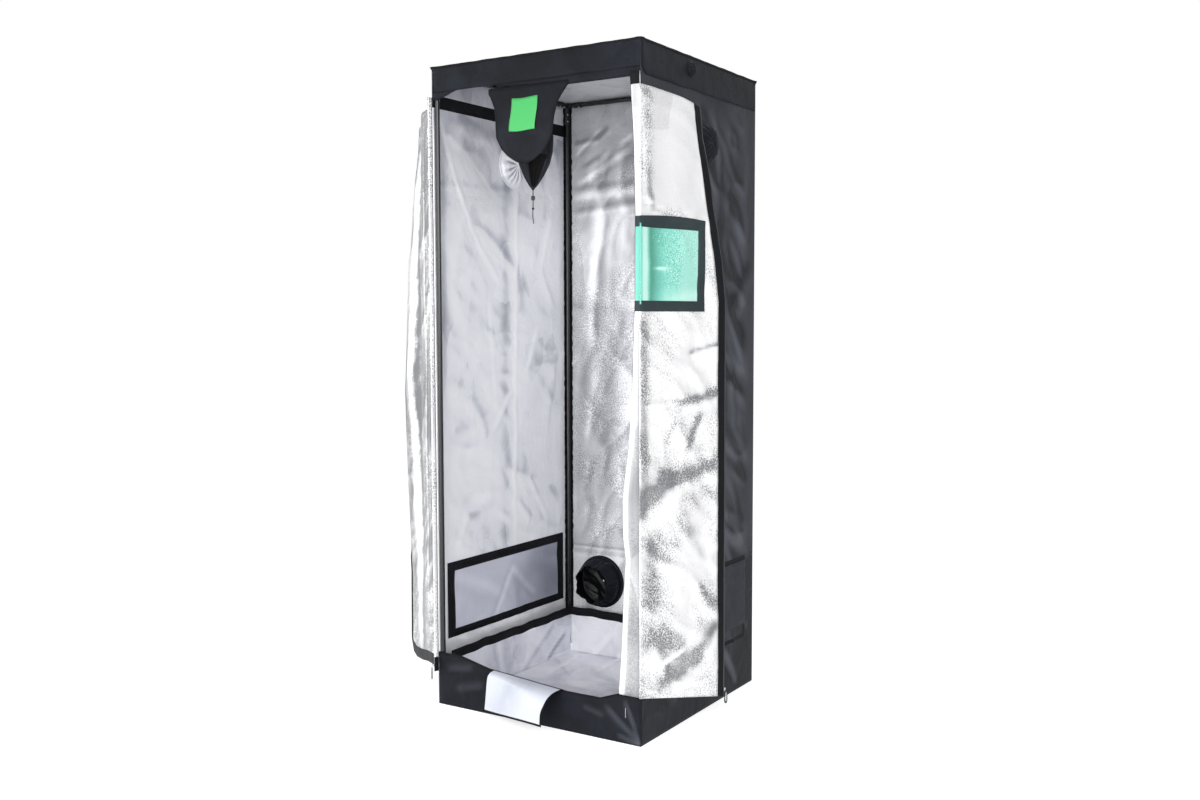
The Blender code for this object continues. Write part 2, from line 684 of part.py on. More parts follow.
def doors():
    levels = list(range(len(DOOR_ROWS) + 2))
    for name, side in (("left", -1), ("right", 1)):
        tops = {0: RIGHT_DOOR_BOTTOM, len(DOOR_ROWS) + 1: DOOR_TOP - DOOR_TOP_FALL}

        def height(row):
            return tops[row] if row in tops else DOOR_ROWS[row - 1]

        def panel(column, row):
            s = door_column(side, column, height(row))
            return door_spot(side, s, door_level(side, row, s))

        def window_kept(column, row):
            first, last = 1, len(FIXED_S) - 1
            low, high = DOOR_ROWS.index(WINDOW_LOW_Z) + 1, DOOR_ROWS.index(WINDOW_HIGH_Z) + 1
            return not (first < column < last and low < row < high)

        columns = list(range(len(FIXED_S) + 2))
        cloth(f"{name}_door", columns, levels, panel, "silver_door", kept=window_kept if side > 0 else None)

        def tape(share, row):
            reach = door_reach(side, height(row))
            s = reach - TAPE_WIDTH + GAP + (TAPE_WIDTH - GAP) * share
            return door_spot(side, s, door_level(side, row, s))

        cloth(f"{name}_door_zip_tape", [0.0, 1.0], levels, tape, "black_tape")
    door_hems()
    door_window()


def door_hems():
    """The loose lower edges: a black hem on the left door and a silver skirt on the right one."""
    def left(share, up):
        s = SEAM_START + (DOOR_WIDTH - SEAM_START) * share
        return door_spot(-1, s, LEFT_HEM_FOOT + (door_bottom(-1, s) - GAP - LEFT_HEM_FOOT) * up)

    def right(share, up):
        s = SEAM_START + (DOOR_WIDTH - SEAM_START) * share
        foot = RIGHT_SKIRT_ROOT + (RIGHT_SKIRT_FOOT - RIGHT_SKIRT_ROOT) * share
        return door_spot(1, s, foot + (door_bottom(1, s) - GAP - foot) * up)

    cloth("left_door_hem", HEM_SHARES, [0.0, 1.0], left, "black_cloth")
    cloth("right_door_skirt", HEM_SHARES, [0.0, 1.0], right, "silver_door")


def bracket(places, at):
    """The two neighbouring places round a value, and how far it lies between them."""
    for low, high in zip(places, places[1:]):
        if at <= high:
            break
    return low, high, (at - low) / (high - low)


def sewn_spot(s, z, proud):
    """A point on what is sewn to the right door: it follows the door's own facets."""
    low_z, high_z, up = bracket(DOOR_ROWS, z)
    folds = []
    for level in (low_z, high_z):
        places = [door_column(1, column, level) for column in range(len(FIXED_S) + 2)]
        low_s, high_s, across = bracket(places, s)
        low, high = door_fold(1, low_s, level), door_fold(1, high_s, level)
        folds.append(low + (high - low) * across)
    hinge, along, lining = door_frame(1)
    flat = hinge + along * s + lining * (folds[0] + (folds[1] - folds[0]) * up + proud)
    return Vector((flat.x, flat.y, z))


def door_window():
    """Green film over the hole in the right door, under a black strip frame, both on the silver side."""
    film_proud = CLOTH / 2 + GAP + WINDOW_FILM / 2
    strip_proud = film_proud + WINDOW_FILM / 2 + GAP + CLOTH / 2
    columns = [WINDOW_SEAM_S, *FIXED_S[1:], WINDOW_INNER_S + WINDOW_LAP]
    middle = [WINDOW_LOW_Z, WINDOW_MIDDLE_Z, WINDOW_HIGH_Z]
    rows = [WINDOW_LOW_Z - WINDOW_LAP, *middle, WINDOW_HIGH_Z + WINDOW_LAP]
    cloth(
        "door_window_film", columns, rows, lambda s, z: sewn_spot(s, z, film_proud), "green_film",
        thickness=WINDOW_FILM,
    )
    columns = [WINDOW_SEAM_S, *FIXED_S[1:], WINDOW_OUTER_S]
    cloth(
        "door_window_frame", columns, [WINDOW_BOTTOM, *middle, WINDOW_TOP],
        lambda s, z: sewn_spot(s, z, strip_proud), "black_tape",
        kept=lambda s, z: not (WINDOW_TUCK_S < s < WINDOW_INNER_S and WINDOW_LOW_Z < z < WINDOW_HIGH_Z),
    )


def tongue():
    """U-shaped flap that hangs from the strip over the opening and stands a little forward at its foot."""
    root_y = -(WALL_Y + GAP + CLOTH / 2)
    head = OPENING_TOP + TONGUE_ROOT_LAP
    levels = [-TONGUE_ROOT_LAP / TONGUE_LENGTH] + [share for share, _ in TONGUE_EDGE_SHARES]
    sides = [2 * i / TONGUE_COLUMNS - 1 for i in range(TONGUE_COLUMNS + 1)]

    def spot(across, level):
        half = TONGUE_HALF_WIDTH * between(TONGUE_EDGE_SHARES, max(0.0, level))
        x = TONGUE_CENTRE_X + half * across
        forward = math.sin(min(1.0, max(0.0, level) / TONGUE_BEND_SHARE) * math.pi / 2)
        y = root_y + (TONGUE_PLANE_Y - root_y) * forward
        return (x, y, OPENING_TOP - TONGUE_LENGTH * level if level >= 0 else head)

    cloth("door_tongue", sides, levels, spot, "black_cloth")


def front_sock():
    """Black cloth sock behind the tongue, gathered to a point round its drawcord."""
    cinch = Vector((SOCK_CINCH_X, SOCK_CINCH_Y, SOCK_TOP_Z - SOCK_LENGTH))
    top = cinch + Vector((SOCK_LEAN, 0.0, SOCK_LENGTH))
    tip = CORD_R + GAP

    def spot(turn, level):
        centre = top.lerp(cinch, level)
        width = between(SOCK_SHARES, level)
        angle = 2 * math.pi * turn
        return (
            centre.x + (tip + (SOCK_HALF_X - tip) * width) * math.cos(angle),
            centre.y + (tip + (SOCK_HALF_Y - tip) * width) * math.sin(angle),
            centre.z,
        )

    turns = [i / SOCK_SIDES for i in range(SOCK_SIDES + 1)]
    levels = [share for share, _ in reversed(SOCK_SHARES)]
    cloth("front_sock", turns, levels, spot, "black_cloth", side=1.0, closed=True)


def drawcord():
    curve = bpy.data.curves.new("sock_drawcord", "CURVE")
    curve.dimensions = "3D"
    curve.bevel_depth = CORD_R
    curve.bevel_resolution = 2
    curve.use_fill_caps = True
    spline = curve.splines.new("POLY")
    spline.points.add(len(CORD_ROUTE) - 1)
    for point, spot in zip(spline.points, CORD_ROUTE):
        point.co = (*spot, 1.0)
    cord = bpy.data.objects.new("sock_drawcord", curve)
    curve.materials.append(finish("black_tape"))
    tent.objects.link(cord)
    bore = CORD_R + TOGGLE_PLAY
    shoulder = TOGGLE_HALF_LENGTH / 2
    toggle = turned(
        "drawcord_toggle",
        (
            (bore + GAP, TOGGLE_HALF_LENGTH), (TOGGLE_R, shoulder), (TOGGLE_R, -shoulder),
            (bore + GAP, -TOGGLE_HALF_LENGTH), (bore, -TOGGLE_HALF_LENGTH), (bore, TOGGLE_HALF_LENGTH),
        ),
        "black_plastic", POLE_SIDES,
    )
    toggle.location = Vector(CORD_ROUTE[0]) - Vector((0.0, 0.0, TOGGLE_DROP))


def gathered_port(name, hole_r, rim, reach, neck_r):
    """A drawn-up cloth port: a sewn rim, then a dome that gathers to a small neck. It opens away from +Z."""
    outer = hole_r + rim
    sink = CLOTH * DOME_SINK_SHARE
    dome = [(neck_r + (hole_r - neck_r) * wide, reach * high) for wide, high in PORT_DOME_SHARES]
    inner = [(radius - CLOTH, height - sink) for radius, height in dome[1:]]
    profile = [(neck_r, reach), *reversed(dome[1:])]
    profile += [(dome[0][0], dome[0][1] + CLOTH), (outer, CLOTH), (outer, 0.0)]
    profile += [(hole_r - CLOTH, 0.0), *inner, (neck_r - CLOTH, reach - sink)]
    return turned(name, profile, "black_cloth", PORT_SIDES)


def ports():
    proud_x = WALL_X + GAP
    for name, side, y, z in side_ports():
        port = gathered_port(
            f"{name}_duct_port", SIDE_PORT_HOLE_R, SIDE_PORT_RIM, SIDE_PORT_REACH, SIDE_PORT_NECK_R
        )
        place(port, (side * proud_x, y, z), (side, 0, 0))
    cable = gathered_port("cable_port", CABLE_PORT_R, CABLE_PORT_RIM, CABLE_PORT_REACH, CABLE_NECK_R)
    place(cable, (HALF_W + GAP, CABLE_PORT_Y, HEIGHT - CABLE_PORT_DROP), (1, 0, 0))
    outer, hole, mouth = BACK_PORT_HOLE_R + BACK_PORT_RIM, BACK_PORT_HOLE_R, BACK_PORT_MOUTH_R
    reach = BACK_PORT_REACH
    bend = reach * BACK_PORT_BEND_SHARE
    profile = (
        (mouth, reach), (hole, bend), (hole, CLOTH), (outer, CLOTH), (outer, 0.0),
        (hole - CLOTH, 0.0), (hole - CLOTH, bend - CLOTH / 2), (mouth - CLOTH, reach),
    )
    back = turned("back_duct_port", profile, "black_cloth", PORT_SIDES)
    place(back, (BACK_PORT_X, INNER_Y - GAP, BACK_PORT_Z), (0, -1, 0))


def vents():
    """Fine mesh sewn over each vent outside, and a lined cover that swings up from its top edge inside."""
    for name, side in (("left", -1), ("right", 1)):
        near, far = sorted((side * (WALL_X + GAP), side * (WALL_X + GAP + MESH_SHEET)))
        front, back = VENT_FRONT_Y - VENT_BORDER / 2, VENT_BACK_Y + VENT_BORDER / 2
        low, high = VENT_BOTTOM - VENT_BORDER_Z / 2, VENT_TOP + VENT_BORDER_Z / 2
        piece(f"{name}_vent_mesh", box_mesh("mesh", (near, front, low), (far, back, high)), "black_mesh")
        middle = side * (INNER_X - GAP - CLOTH / 2)
        front, back = VENT_FRONT_Y - VENT_BORDER, VENT_BACK_Y + VENT_BORDER
        low, high = VENT_BOTTOM - VENT_BORDER_Z, VENT_TOP + VENT_BORDER_Z + COVER_HEAD - SEAM_START
        near, far = middle - CLOTH / 2, middle + CLOTH / 2
        piece(f"{name}_vent_cover", box_mesh("cover", (near, front, low), (far, back, high)), "silver_lining")


def tray():
    """Loose floor tray: three high walls and a low front one."""
    half_x, half_y = INNER_X - TRAY_INSET, INNER_Y - TRAY_INSET
    floor = WALL_FOOT
    shape = bmesh.new()
    bmesh.ops.create_cube(shape, size=1.0)
    bmesh.ops.scale(shape, vec=(2 * half_x, 2 * half_y, TRAY_HEIGHT - floor), verts=shape.verts)
    bmesh.ops.translate(shape, vec=(0, 0, (TRAY_HEIGHT + floor) / 2), verts=shape.verts)
    lid = [face for face in shape.faces if face.normal.z > 0.5]
    bmesh.ops.delete(shape, geom=lid, context="FACES_ONLY")
    bmesh.ops.bisect_plane(
        shape, geom=list(shape.verts) + list(shape.edges) + list(shape.faces),
        plane_co=(0, 0, TRAY_FRONT_HEIGHT), plane_no=(0, 0, 1),
    )
    shape.normal_update()
    upper = [f for f in shape.faces if f.normal.y < -0.5 and f.calc_center_median().z > TRAY_FRONT_HEIGHT]
    bmesh.ops.delete(shape, geom=upper, context="FACES")
    obj = piece("floor_tray", to_mesh("floor_tray", shape), "silver_lining")
    wall = obj.modifiers.new("thickness", "SOLIDIFY")
    wall.thickness = CLOTH
    wall.offset = -1.0
    wall.use_even_offset = True


def sill_flap():
    """Flap on the sill's top edge. Its left side hangs close, and its right side billows forward."""
    hinge_y = -(WALL_Y + GAP)
    columns = [i / FLAP_COLUMNS for i in range(FLAP_COLUMNS + 1)]

    def spot(share, row):
        root_x = FLAP_LEFT_X + (FLAP_RIGHT_X - FLAP_LEFT_X) * share
        billow = share * share * (3 - 2 * share)
        near, far = FLAP_LEFT_SHARES[row], FLAP_RIGHT_SHARES[row]
        out = near[0] + (far[0] - near[0]) * billow
        rise = near[1] + (far[1] - near[1]) * billow
        start = SEAM_START if row == 0 else 0.0
        x = root_x + FLAP_DRIFT * row / (len(FLAP_LEFT_SHARES) - 1)
        return (x, hinge_y - FLAP_LENGTH * out - start, flap_hinge_z(root_x) + FLAP_LENGTH * rise)

    cloth("sill_flap", columns, list(range(len(FLAP_LEFT_SHARES))), spot, "white_lining")


def slider(name, spot, edge_way, bite_way, lining):
    """A zip slider on a cloth edge, with its pull tab. bite_way points from the edge into the cloth."""
    up = Vector((0, 0, 1))
    half_thick, half_length = SLIDER_THICK / 2, SLIDER_LENGTH / 2
    turn = Matrix((bite_way, lining, edge_way)).transposed().to_4x4()
    turn.translation = spot
    low = (-(SLIDER_SPAN - SLIDER_BITE), -half_thick, -half_length)
    body = piece(name, box_mesh(name, low, (SLIDER_BITE, half_thick, half_length)), "zip_metal")
    body.matrix_world = turn
    slot_half = CLOTH / 2 + SLIDER_PLAY
    reach = half_length + OVERRUN
    cut = box_mesh("slot", (-SLIDER_PLAY, -slot_half, -reach), (SLIDER_BITE + OVERRUN, slot_half, reach))
    slot = cutter(f"{name}_slot", cut)
    slot.matrix_world = turn
    combine(body, slot, "DIFFERENCE")
    centre = Vector(spot) - Vector(bite_way) * (SLIDER_SPAN - SLIDER_BITE - PULL_WIDTH / 2 - GAP)
    wide = PULL_WIDTH / 2
    pull = cutter(
        f"{name}_pull",
        box_mesh("pull", (-wide, -PULL_THICK / 2, -PULL_LENGTH), (wide, PULL_THICK / 2, SLIDER_PLAY)),
    )
    flat = Vector(lining).cross(up)
    hang = Matrix((flat, lining, up)).transposed().to_4x4()
    hang.translation = centre
    pull.matrix_world = hang
    combine(body, pull, "UNION")


def sliders():
    hinge, along, lining = door_frame(1)
    edge = hinge + along * DOOR_WIDTH
    slider("right_zip_slider", Vector((edge.x, edge.y, RIGHT_SLIDER_Z)), Vector((0, 0, 1)), -along, lining)
    hinge, along, lining = door_frame(-1)
    edge = hinge + along * LEFT_SLIDER_S
    slider("left_zip_slider", Vector((edge.x, edge.y, LEFT_HEM_FOOT)), along, Vector((0, 0, 1)), lining)


clear_scene()
tent = new_collection("grow_tent")
cutters = new_collection("cutters")
frame_poles()
corner_connectors()
hanging_bars()
cover_shell()
front_margins()
doors()
tongue()
front_sock()
drawcord()
ports()
vents()
tray()
sill_flap()
sliders()
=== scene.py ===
import math
from itertools import product
import bmesh
import bpy
from mathutils import Matrix, Vector, noise


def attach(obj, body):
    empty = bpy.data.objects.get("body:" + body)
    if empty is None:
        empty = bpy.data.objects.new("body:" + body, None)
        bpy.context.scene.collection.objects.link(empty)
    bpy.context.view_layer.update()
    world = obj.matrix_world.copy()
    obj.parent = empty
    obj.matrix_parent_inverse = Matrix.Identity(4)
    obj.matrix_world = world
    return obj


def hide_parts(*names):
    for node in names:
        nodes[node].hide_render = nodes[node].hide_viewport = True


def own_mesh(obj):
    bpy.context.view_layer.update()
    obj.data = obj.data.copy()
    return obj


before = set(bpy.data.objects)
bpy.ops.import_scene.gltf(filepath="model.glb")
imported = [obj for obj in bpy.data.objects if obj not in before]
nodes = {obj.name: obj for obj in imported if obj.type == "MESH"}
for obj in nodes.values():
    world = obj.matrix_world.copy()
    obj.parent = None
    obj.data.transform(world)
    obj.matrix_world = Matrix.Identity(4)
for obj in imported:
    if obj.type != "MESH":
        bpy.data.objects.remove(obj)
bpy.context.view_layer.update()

# The tent's own sizes in metres, as the CAD source has them
tent = {
    "half": 0.375,
    "cloth": 0.0012,
    "gap": 0.0003,
    "wall": 0.3729,
    "wallOut": 0.3735,
    "wallIn": 0.3723,
    "foot": 0.0015,
    "head": 1.9985,
    "openingTop": 1.897,
    "post": 0.3625,
}
sideSign = {"left": -1, "right": 1}


def linear(hexColour):
    parts = [int(hexColour[i:i + 2], 16) / 255 for i in (1, 3, 5)]
    return tuple(((p + 0.055) / 1.055) ** 2.4 if p > 0.04045 else p / 12.92 for p in parts) + (1.0,)


def addNode(tree, kind, settings=None, links=None):
    node = tree.nodes.new(kind)
    for name, value in (settings or {}).items():
        if isinstance(name, int) or name in node.inputs:
            node.inputs[name].default_value = value
        else:
            setattr(node, name, value)
    for name, source in (links or {}).items():
        tree.links.new(source, node.inputs[name])
    return node


def newMaterial(name):
    material = bpy.data.materials.new(name)
    material.use_nodes = True
    tree = material.node_tree
    tree.nodes.clear()
    return material, tree


def between(table, at):
    for (a, low), (b, high) in zip(table, table[1:]):
        if at <= b:
            return low + (high - low) * max(0.0, at - a) / (b - a)
    return table[-1][1]


def curveThrough(points, at):
    # A smooth line through the points, read at a share from 0 to 1
    i = min(len(points) - 2, int(at * (len(points) - 1)))
    t = at * (len(points) - 1) - i
    p0 = Vector(points[max(0, i - 1)])
    p1 = Vector(points[i])
    p2 = Vector(points[i + 1])
    p3 = Vector(points[min(len(points) - 1, i + 2)])
    bend = 2 * p0 - 5 * p1 + 4 * p2 - p3
    twist = 3 * p1 - p0 - 3 * p2 + p3
    return 0.5 * (2 * p1 + (p2 - p0) * t + bend * t * t + twist * t ** 3)


def easy(t):
    t = min(1.0, max(0.0, t))
    return t * t * (3 - 2 * t)


def spaced(stops, step):
    places = [stops[0]]
    for low, high in zip(stops, stops[1:]):
        count = max(1, round((high - low) / step))
        places += [low + (high - low) * (i + 1) / count for i in range(count)]
    return places


# Camera, fitted to the tent's corners in a 1200x800 picture
view = {
    "place": (2.0655, -3.2707, 1.2264),
    "yaw": 32.239,
    "pitch": -3.8986,
    "roll": -0.1449,
    "lens": 35.862,
}


def makeCamera():
    lens = bpy.data.cameras.new("viewCamera")
    lens.lens = view["lens"]
    lens.sensor_width = 36.0
    camera = bpy.data.objects.new("viewCamera", lens)
    bpy.context.scene.collection.objects.link(camera)
    turn = Matrix.Rotation(math.radians(view["yaw"]), 4, "Z")
    turn = turn @ Matrix.Rotation(math.radians(90 + view["pitch"]), 4, "X")
    turn = turn @ Matrix.Rotation(math.radians(view["roll"]), 4, "Z")
    camera.matrix_world = Matrix.Translation(view["place"]) @ turn
    bpy.context.scene.camera = camera


makeCamera()
print("camera set")


# Drawcord of the sock: limp braided cord, shown from end to end. It hangs straight and bends below its knot
drawcord = {
    "radius": 0.0014,
    "straight": [(-0.0130, -0.345, round(1.606 - 0.004 * i, 4)) for i in range(12)],
    "bends": (
        (-0.0131, 1.558), (-0.0133, 1.554), (-0.0135, 1.549), (-0.0138, 1.544), (-0.0140, 1.539),
        (-0.0141, 1.534), (-0.0141, 1.529), (-0.0138, 1.524), (-0.0133, 1.519), (-0.0126, 1.514),
        (-0.0118, 1.508),
    ),
    "knot": (-0.0134, -0.3450, 1.5525),
    "knotRadius": 0.0034,
    "togglePlace": (-0.0130, -0.3450, 1.5835),
    "toggleRadius": 0.0062,
    "toggleHalf": 0.0066,
    "bore": 0.0018,
}
cordRoute = drawcord["straight"] + [(x, -0.345, z) for x, z in drawcord["bends"]]
cordLength = sum((Vector(b) - Vector(a)).length for a, b in zip(cordRoute, cordRoute[1:]))


def place(name, mesh, materials):
    obj = bpy.data.objects.new(name, mesh)
    bpy.context.scene.collection.objects.link(obj)
    for material in materials:
        mesh.materials.append(material)
    return obj


def toMesh(name, shape, smooth=True):
    mesh = bpy.data.meshes.new(name)
    shape.to_mesh(mesh)
    shape.free()
    if smooth:
        mesh.shade_smooth()
    return mesh


def turnedMesh(name, profile, sides, centre, way=(0, 0, 1), sharp=35):
    # A closed ring turned about Z from (radius, height) corners, then stood along a direction
    shape = bmesh.new()
    corners = [shape.verts.new((r, 0, h)) for r, h in profile]
    loop = [shape.edges.new((a, b)) for a, b in zip(corners, corners[1:] + corners[:1])]
    bmesh.ops.spin(
        shape, geom=corners + loop, cent=(0, 0, 0), axis=(0, 0, 1), angle=2 * math.pi, steps=sides,
        use_merge=True,
    )
    bmesh.ops.remove_doubles(shape, verts=shape.verts, dist=0.00002)
    bmesh.ops.recalc_face_normals(shape, faces=shape.faces)
    turn = Vector(way).to_track_quat("Z", "Y").to_matrix().to_4x4()
    turn.translation = centre
    bmesh.ops.transform(shape, matrix=turn, verts=shape.verts)
    mesh = toMesh(name, shape)
    mesh.set_sharp_from_angle(angle=math.radians(sharp))
    return mesh


# Materials
def blackOxford(name, low, high, rough, weave, paintedSheenStrength=0.0):
    # Polyester oxford with a PVC back: dull black, a fine woven grain and a faint real sheen; pale highlights
    # are painted into its colour along lit folds, from a per-point attribute
    material, tree = newMaterial(name)
    spot = addNode(tree, "ShaderNodeTexCoord")
    inPlace = {"Vector": spot.outputs["Object"]}
    cloud = addNode(
        tree, "ShaderNodeTexNoise", {"Scale": 7.0, "Detail": 5.0, "Roughness": 0.62, "Distortion": 0.6},
        inPlace,
    )
    patches = addNode(
        tree, "ShaderNodeMapRange", {"From Min": 0.38, "From Max": 0.64}, {"Value": cloud.outputs["Fac"]},
    )
    ground = addNode(
        tree, "ShaderNodeMix", {"data_type": "RGBA", 6: linear(low), 7: linear(high)},
        {0: patches.outputs["Result"]},
    )
    # Painted sheen: where the sheet's per-point sheen attribute is high, the black is mixed toward a pale grey
    # highlight
    shine = addNode(tree, "ShaderNodeAttribute", {"attribute_name": "paintedSheen"})
    paintedSheen = addNode(
        tree, "ShaderNodeMapRange", {"From Min": 0.0, "From Max": 1.5, "To Max": paintedSheenStrength},
        {"Value": shine.outputs["Fac"]},
    )
    tint = addNode(
        tree, "ShaderNodeMix", {"data_type": "RGBA", 7: linear("#A4A8B8")},
        {0: paintedSheen.outputs["Result"], 6: ground.outputs[2]},
    )
    across, along = [
        addNode(
            tree, "ShaderNodeTexWave", {"Scale": weave, "bands_direction": way, "Distortion": 0.6},
            {"Vector": spot.outputs["UV"]},
        )
        for way in "XY"
    ]
    threads = addNode(
        tree, "ShaderNodeMath", {"operation": "ADD"}, {0: across.outputs["Fac"], 1: along.outputs["Fac"]},
    )
    grain = addNode(
        tree, "ShaderNodeBump", {"Strength": 0.15, "Distance": 0.0004}, {"Height": threads.outputs["Value"]},
    )
    folds = addNode(
        tree, "ShaderNodeTexNoise", {"Scale": 11.0, "Detail": 4.0, "Roughness": 0.55, "Distortion": 0.8},
        inPlace,
    )
    rumple = addNode(
        tree, "ShaderNodeBump", {"Strength": 0.5, "Distance": 0.008},
        {"Height": folds.outputs["Fac"], "Normal": grain.outputs["Normal"]},
    )
    shader = addNode(
        tree, "ShaderNodeBsdfPrincipled",
        {"Roughness": rough, "Specular IOR Level": 0.13, "Sheen Weight": 0.008, "Sheen Roughness": 0.4},
        {"Base Color": tint.outputs[2], "Normal": rumple.outputs["Normal"]},
    )
    addNode(tree, "ShaderNodeOutputMaterial", None, {"Surface": shader.outputs["BSDF"]})
    return material


def silverFoil(name, look):
    # Metallised polyester lining. Its colour holds painted light and shade from a per-point attribute: bright
    # where painted lit and smooth, grey on folds painted as turned away, and a pressed grain whose glitter is
    # painted in where one goes over into the other
    material, tree = newMaterial(name)
    spot = addNode(tree, "ShaderNodeTexCoord")
    inPlace = {"Vector": spot.outputs["Object"]}
    # Painted light and shade, from the sheet's per-point attribute
    paintedShading = addNode(tree, "ShaderNodeAttribute", {"attribute_name": "paintedShading"})
    cloud = addNode(
        tree, "ShaderNodeTexNoise",
        {"Scale": look["cloudScale"], "Detail": 5.0, "Roughness": 0.62, "Distortion": 0.9}, inPlace,
    )
    shades = addNode(
        tree, "ShaderNodeMapRange",
        {"From Min": 0.25, "From Max": 0.75, "To Min": -look["cloud"], "To Max": look["cloud"]},
        {"Value": cloud.outputs["Fac"]},
    )
    mask = addNode(
        tree, "ShaderNodeTexNoise", {"Scale": look["maskScale"], "Detail": 3.0, "Distortion": 0.5}, inPlace,
    )
    patch = addNode(
        tree, "ShaderNodeMapRange",
        {"From Min": look["maskFrom"], "From Max": look["maskFrom"] + 0.12, "To Min": 0.15, "To Max": 1.0},
        {"Value": mask.outputs["Fac"]},
    )
    # Painted glitter: fine light and dark specks in patches, held back where the calm attribute is high; the
    # same noise bumps the pressed grain
    glitter = addNode(tree, "ShaderNodeTexNoise", {"Scale": look["grainScale"], "Detail": 1.0}, inPlace)
    specks = addNode(
        tree, "ShaderNodeMapRange",
        {"From Min": 0.3, "From Max": 0.7, "To Min": -look["grain"], "To Max": look["grain"]},
        {"Value": glitter.outputs["Fac"]},
    )
    calm = addNode(tree, "ShaderNodeAttribute", {"attribute_name": "calm"})
    lively = addNode(tree, "ShaderNodeMath", {"operation": "SUBTRACT", 0: 1.0}, {1: calm.outputs["Fac"]})
    shown = addNode(
        tree, "ShaderNodeMath", {"operation": "MULTIPLY_ADD"},
        {0: specks.outputs["Result"], 1: patch.outputs["Result"], 2: shades.outputs["Result"]},
    )
    # Painted light on the crumpled facets: each cell is painted a little lighter or darker
    warp = addNode(tree, "ShaderNodeTexNoise", {"Scale": look["facetScale"] * 0.8, "Detail": 2.0}, inPlace)
    bent = addNode(
        tree, "ShaderNodeVectorMath", {"operation": "MULTIPLY_ADD", 1: (0.06, 0.06, 0.06)},
        {0: warp.outputs["Color"], 2: spot.outputs["Object"]},
    )
    drawn = addNode(
        tree, "ShaderNodeMapping", {"Scale": (1.0, 1.0, 0.42), "Rotation": (0.35, 0.25, 0.0)},
        {"Vector": bent.outputs["Vector"]},
    )
    cells = addNode(
        tree, "ShaderNodeTexVoronoi", {"Scale": look["facetScale"]}, {"Vector": drawn.outputs["Vector"]},
    )
    facets = addNode(
        tree, "ShaderNodeMapRange",
        {"From Min": 0.2, "From Max": 0.8, "To Min": -look["facet"], "To Max": look["facet"]},
        {"Value": cells.outputs["Color"]},
    )
    facing = addNode(
        tree, "ShaderNodeMath", {"operation": "ADD"}, {0: paintedShading.outputs["Fac"], 1: facets.outputs["Result"]},
    )
    level = addNode(
        tree, "ShaderNodeMath", {"operation": "MULTIPLY_ADD"},
        {0: shown.outputs["Value"], 1: lively.outputs["Value"], 2: facing.outputs["Value"]},
    )
    share = addNode(
        tree, "ShaderNodeMapRange", {"From Min": -1.0, "From Max": 1.0}, {"Value": level.outputs["Value"]},
    )
    ramp = addNode(tree, "ShaderNodeValToRGB", None, {"Fac": share.outputs["Result"]})
    stops = ramp.color_ramp.elements
    stops[0].position, stops[0].color = 0.12, linear(look["dark"])
    stops[1].position, stops[1].color = 0.88, linear(look["light"])
    stops.new(0.5).color = linear(look["plain"])
    grain = addNode(
        tree, "ShaderNodeBump", {"Strength": look["grainBump"], "Distance": 0.0008},
        {"Height": glitter.outputs["Fac"]},
    )
    folds = addNode(
        tree, "ShaderNodeTexNoise",
        {"Scale": look["foldScale"], "Detail": 5.0, "Roughness": 0.55, "Distortion": 0.8}, inPlace,
    )
    rumple = addNode(
        tree, "ShaderNodeBump", {"Strength": look["foldBump"], "Distance": 0.010},
        {"Height": folds.outputs["Fac"], "Normal": grain.outputs["Normal"]},
    )
    shader = addNode(
        tree, "ShaderNodeBsdfPrincipled",
        {"Roughness": look["rough"], "Metallic": look["metal"], "Specular IOR Level": 0.6},
        {"Base Color": ramp.outputs["Color"], "Normal": rumple.outputs["Normal"]},
    )
    addNode(tree, "ShaderNodeOutputMaterial", None, {"Surface": shader.outputs["BSDF"]})
    return material


def plainGloss(name, colour, rough, metal, grainScale, grainBump, second):
    # Enamel, plated metal, moulded plastic or vinyl: one even colour with a fine grain
    material, tree = newMaterial(name)
    spot = addNode(tree, "ShaderNodeTexCoord")
    grains = addNode(
        tree, "ShaderNodeTexNoise", {"Scale": grainScale, "Detail": 2.0}, {"Vector": spot.outputs["Object"]},
    )
    tint = addNode(
        tree, "ShaderNodeMix", {"data_type": "RGBA", 6: linear(colour), 7: linear(second)},
        {0: grains.outputs["Fac"]},
    )
    bump = addNode(
        tree, "ShaderNodeBump", {"Strength": grainBump, "Distance": 0.0005}, {"Height": grains.outputs["Fac"]},
    )
    shader = addNode(
        tree, "ShaderNodeBsdfPrincipled", {"Roughness": rough, "Metallic": metal},
        {"Base Color": tint.outputs[2], "Normal": bump.outputs["Normal"]},
    )
    addNode(tree, "ShaderNodeOutputMaterial", None, {"Surface": shader.outputs["BSDF"]})
    return material


# Green see-through film on a foil back: a satin gloss, with painted highlight streaks and a fine painted
# glitter between them
filmGreen = silverFoil("greenWindowFilm", {
    "plain": "#7ED3C3", "light": "#C4F5E8", "dark": "#469F8A", "cloudScale": 6.0, "cloud": 0.10,
    "maskScale": 7.0, "maskFrom": 0.44, "grainScale": 280.0, "grain": 0.65, "grainBump": 0.15,
    "facetScale": 10.0, "facet": 0.05, "foldScale": 4.0, "foldBump": 0.15, "rough": 0.25, "metal": 0.1,
})
wallFoil = silverFoil("silverWallFoil", {
    "plain": "#EEEFF4", "light": "#FDFDFF", "dark": "#A3A5B0", "cloudScale": 4.0, "cloud": 0.25,
    "maskScale": 5.0, "maskFrom": 0.62, "grainScale": 300.0, "grain": 0.30, "grainBump": 0.10,
    "facetScale": 11.0, "facet": 0.15, "foldScale": 8.0, "foldBump": 0.70, "rough": 0.34, "metal": 0.25,
})
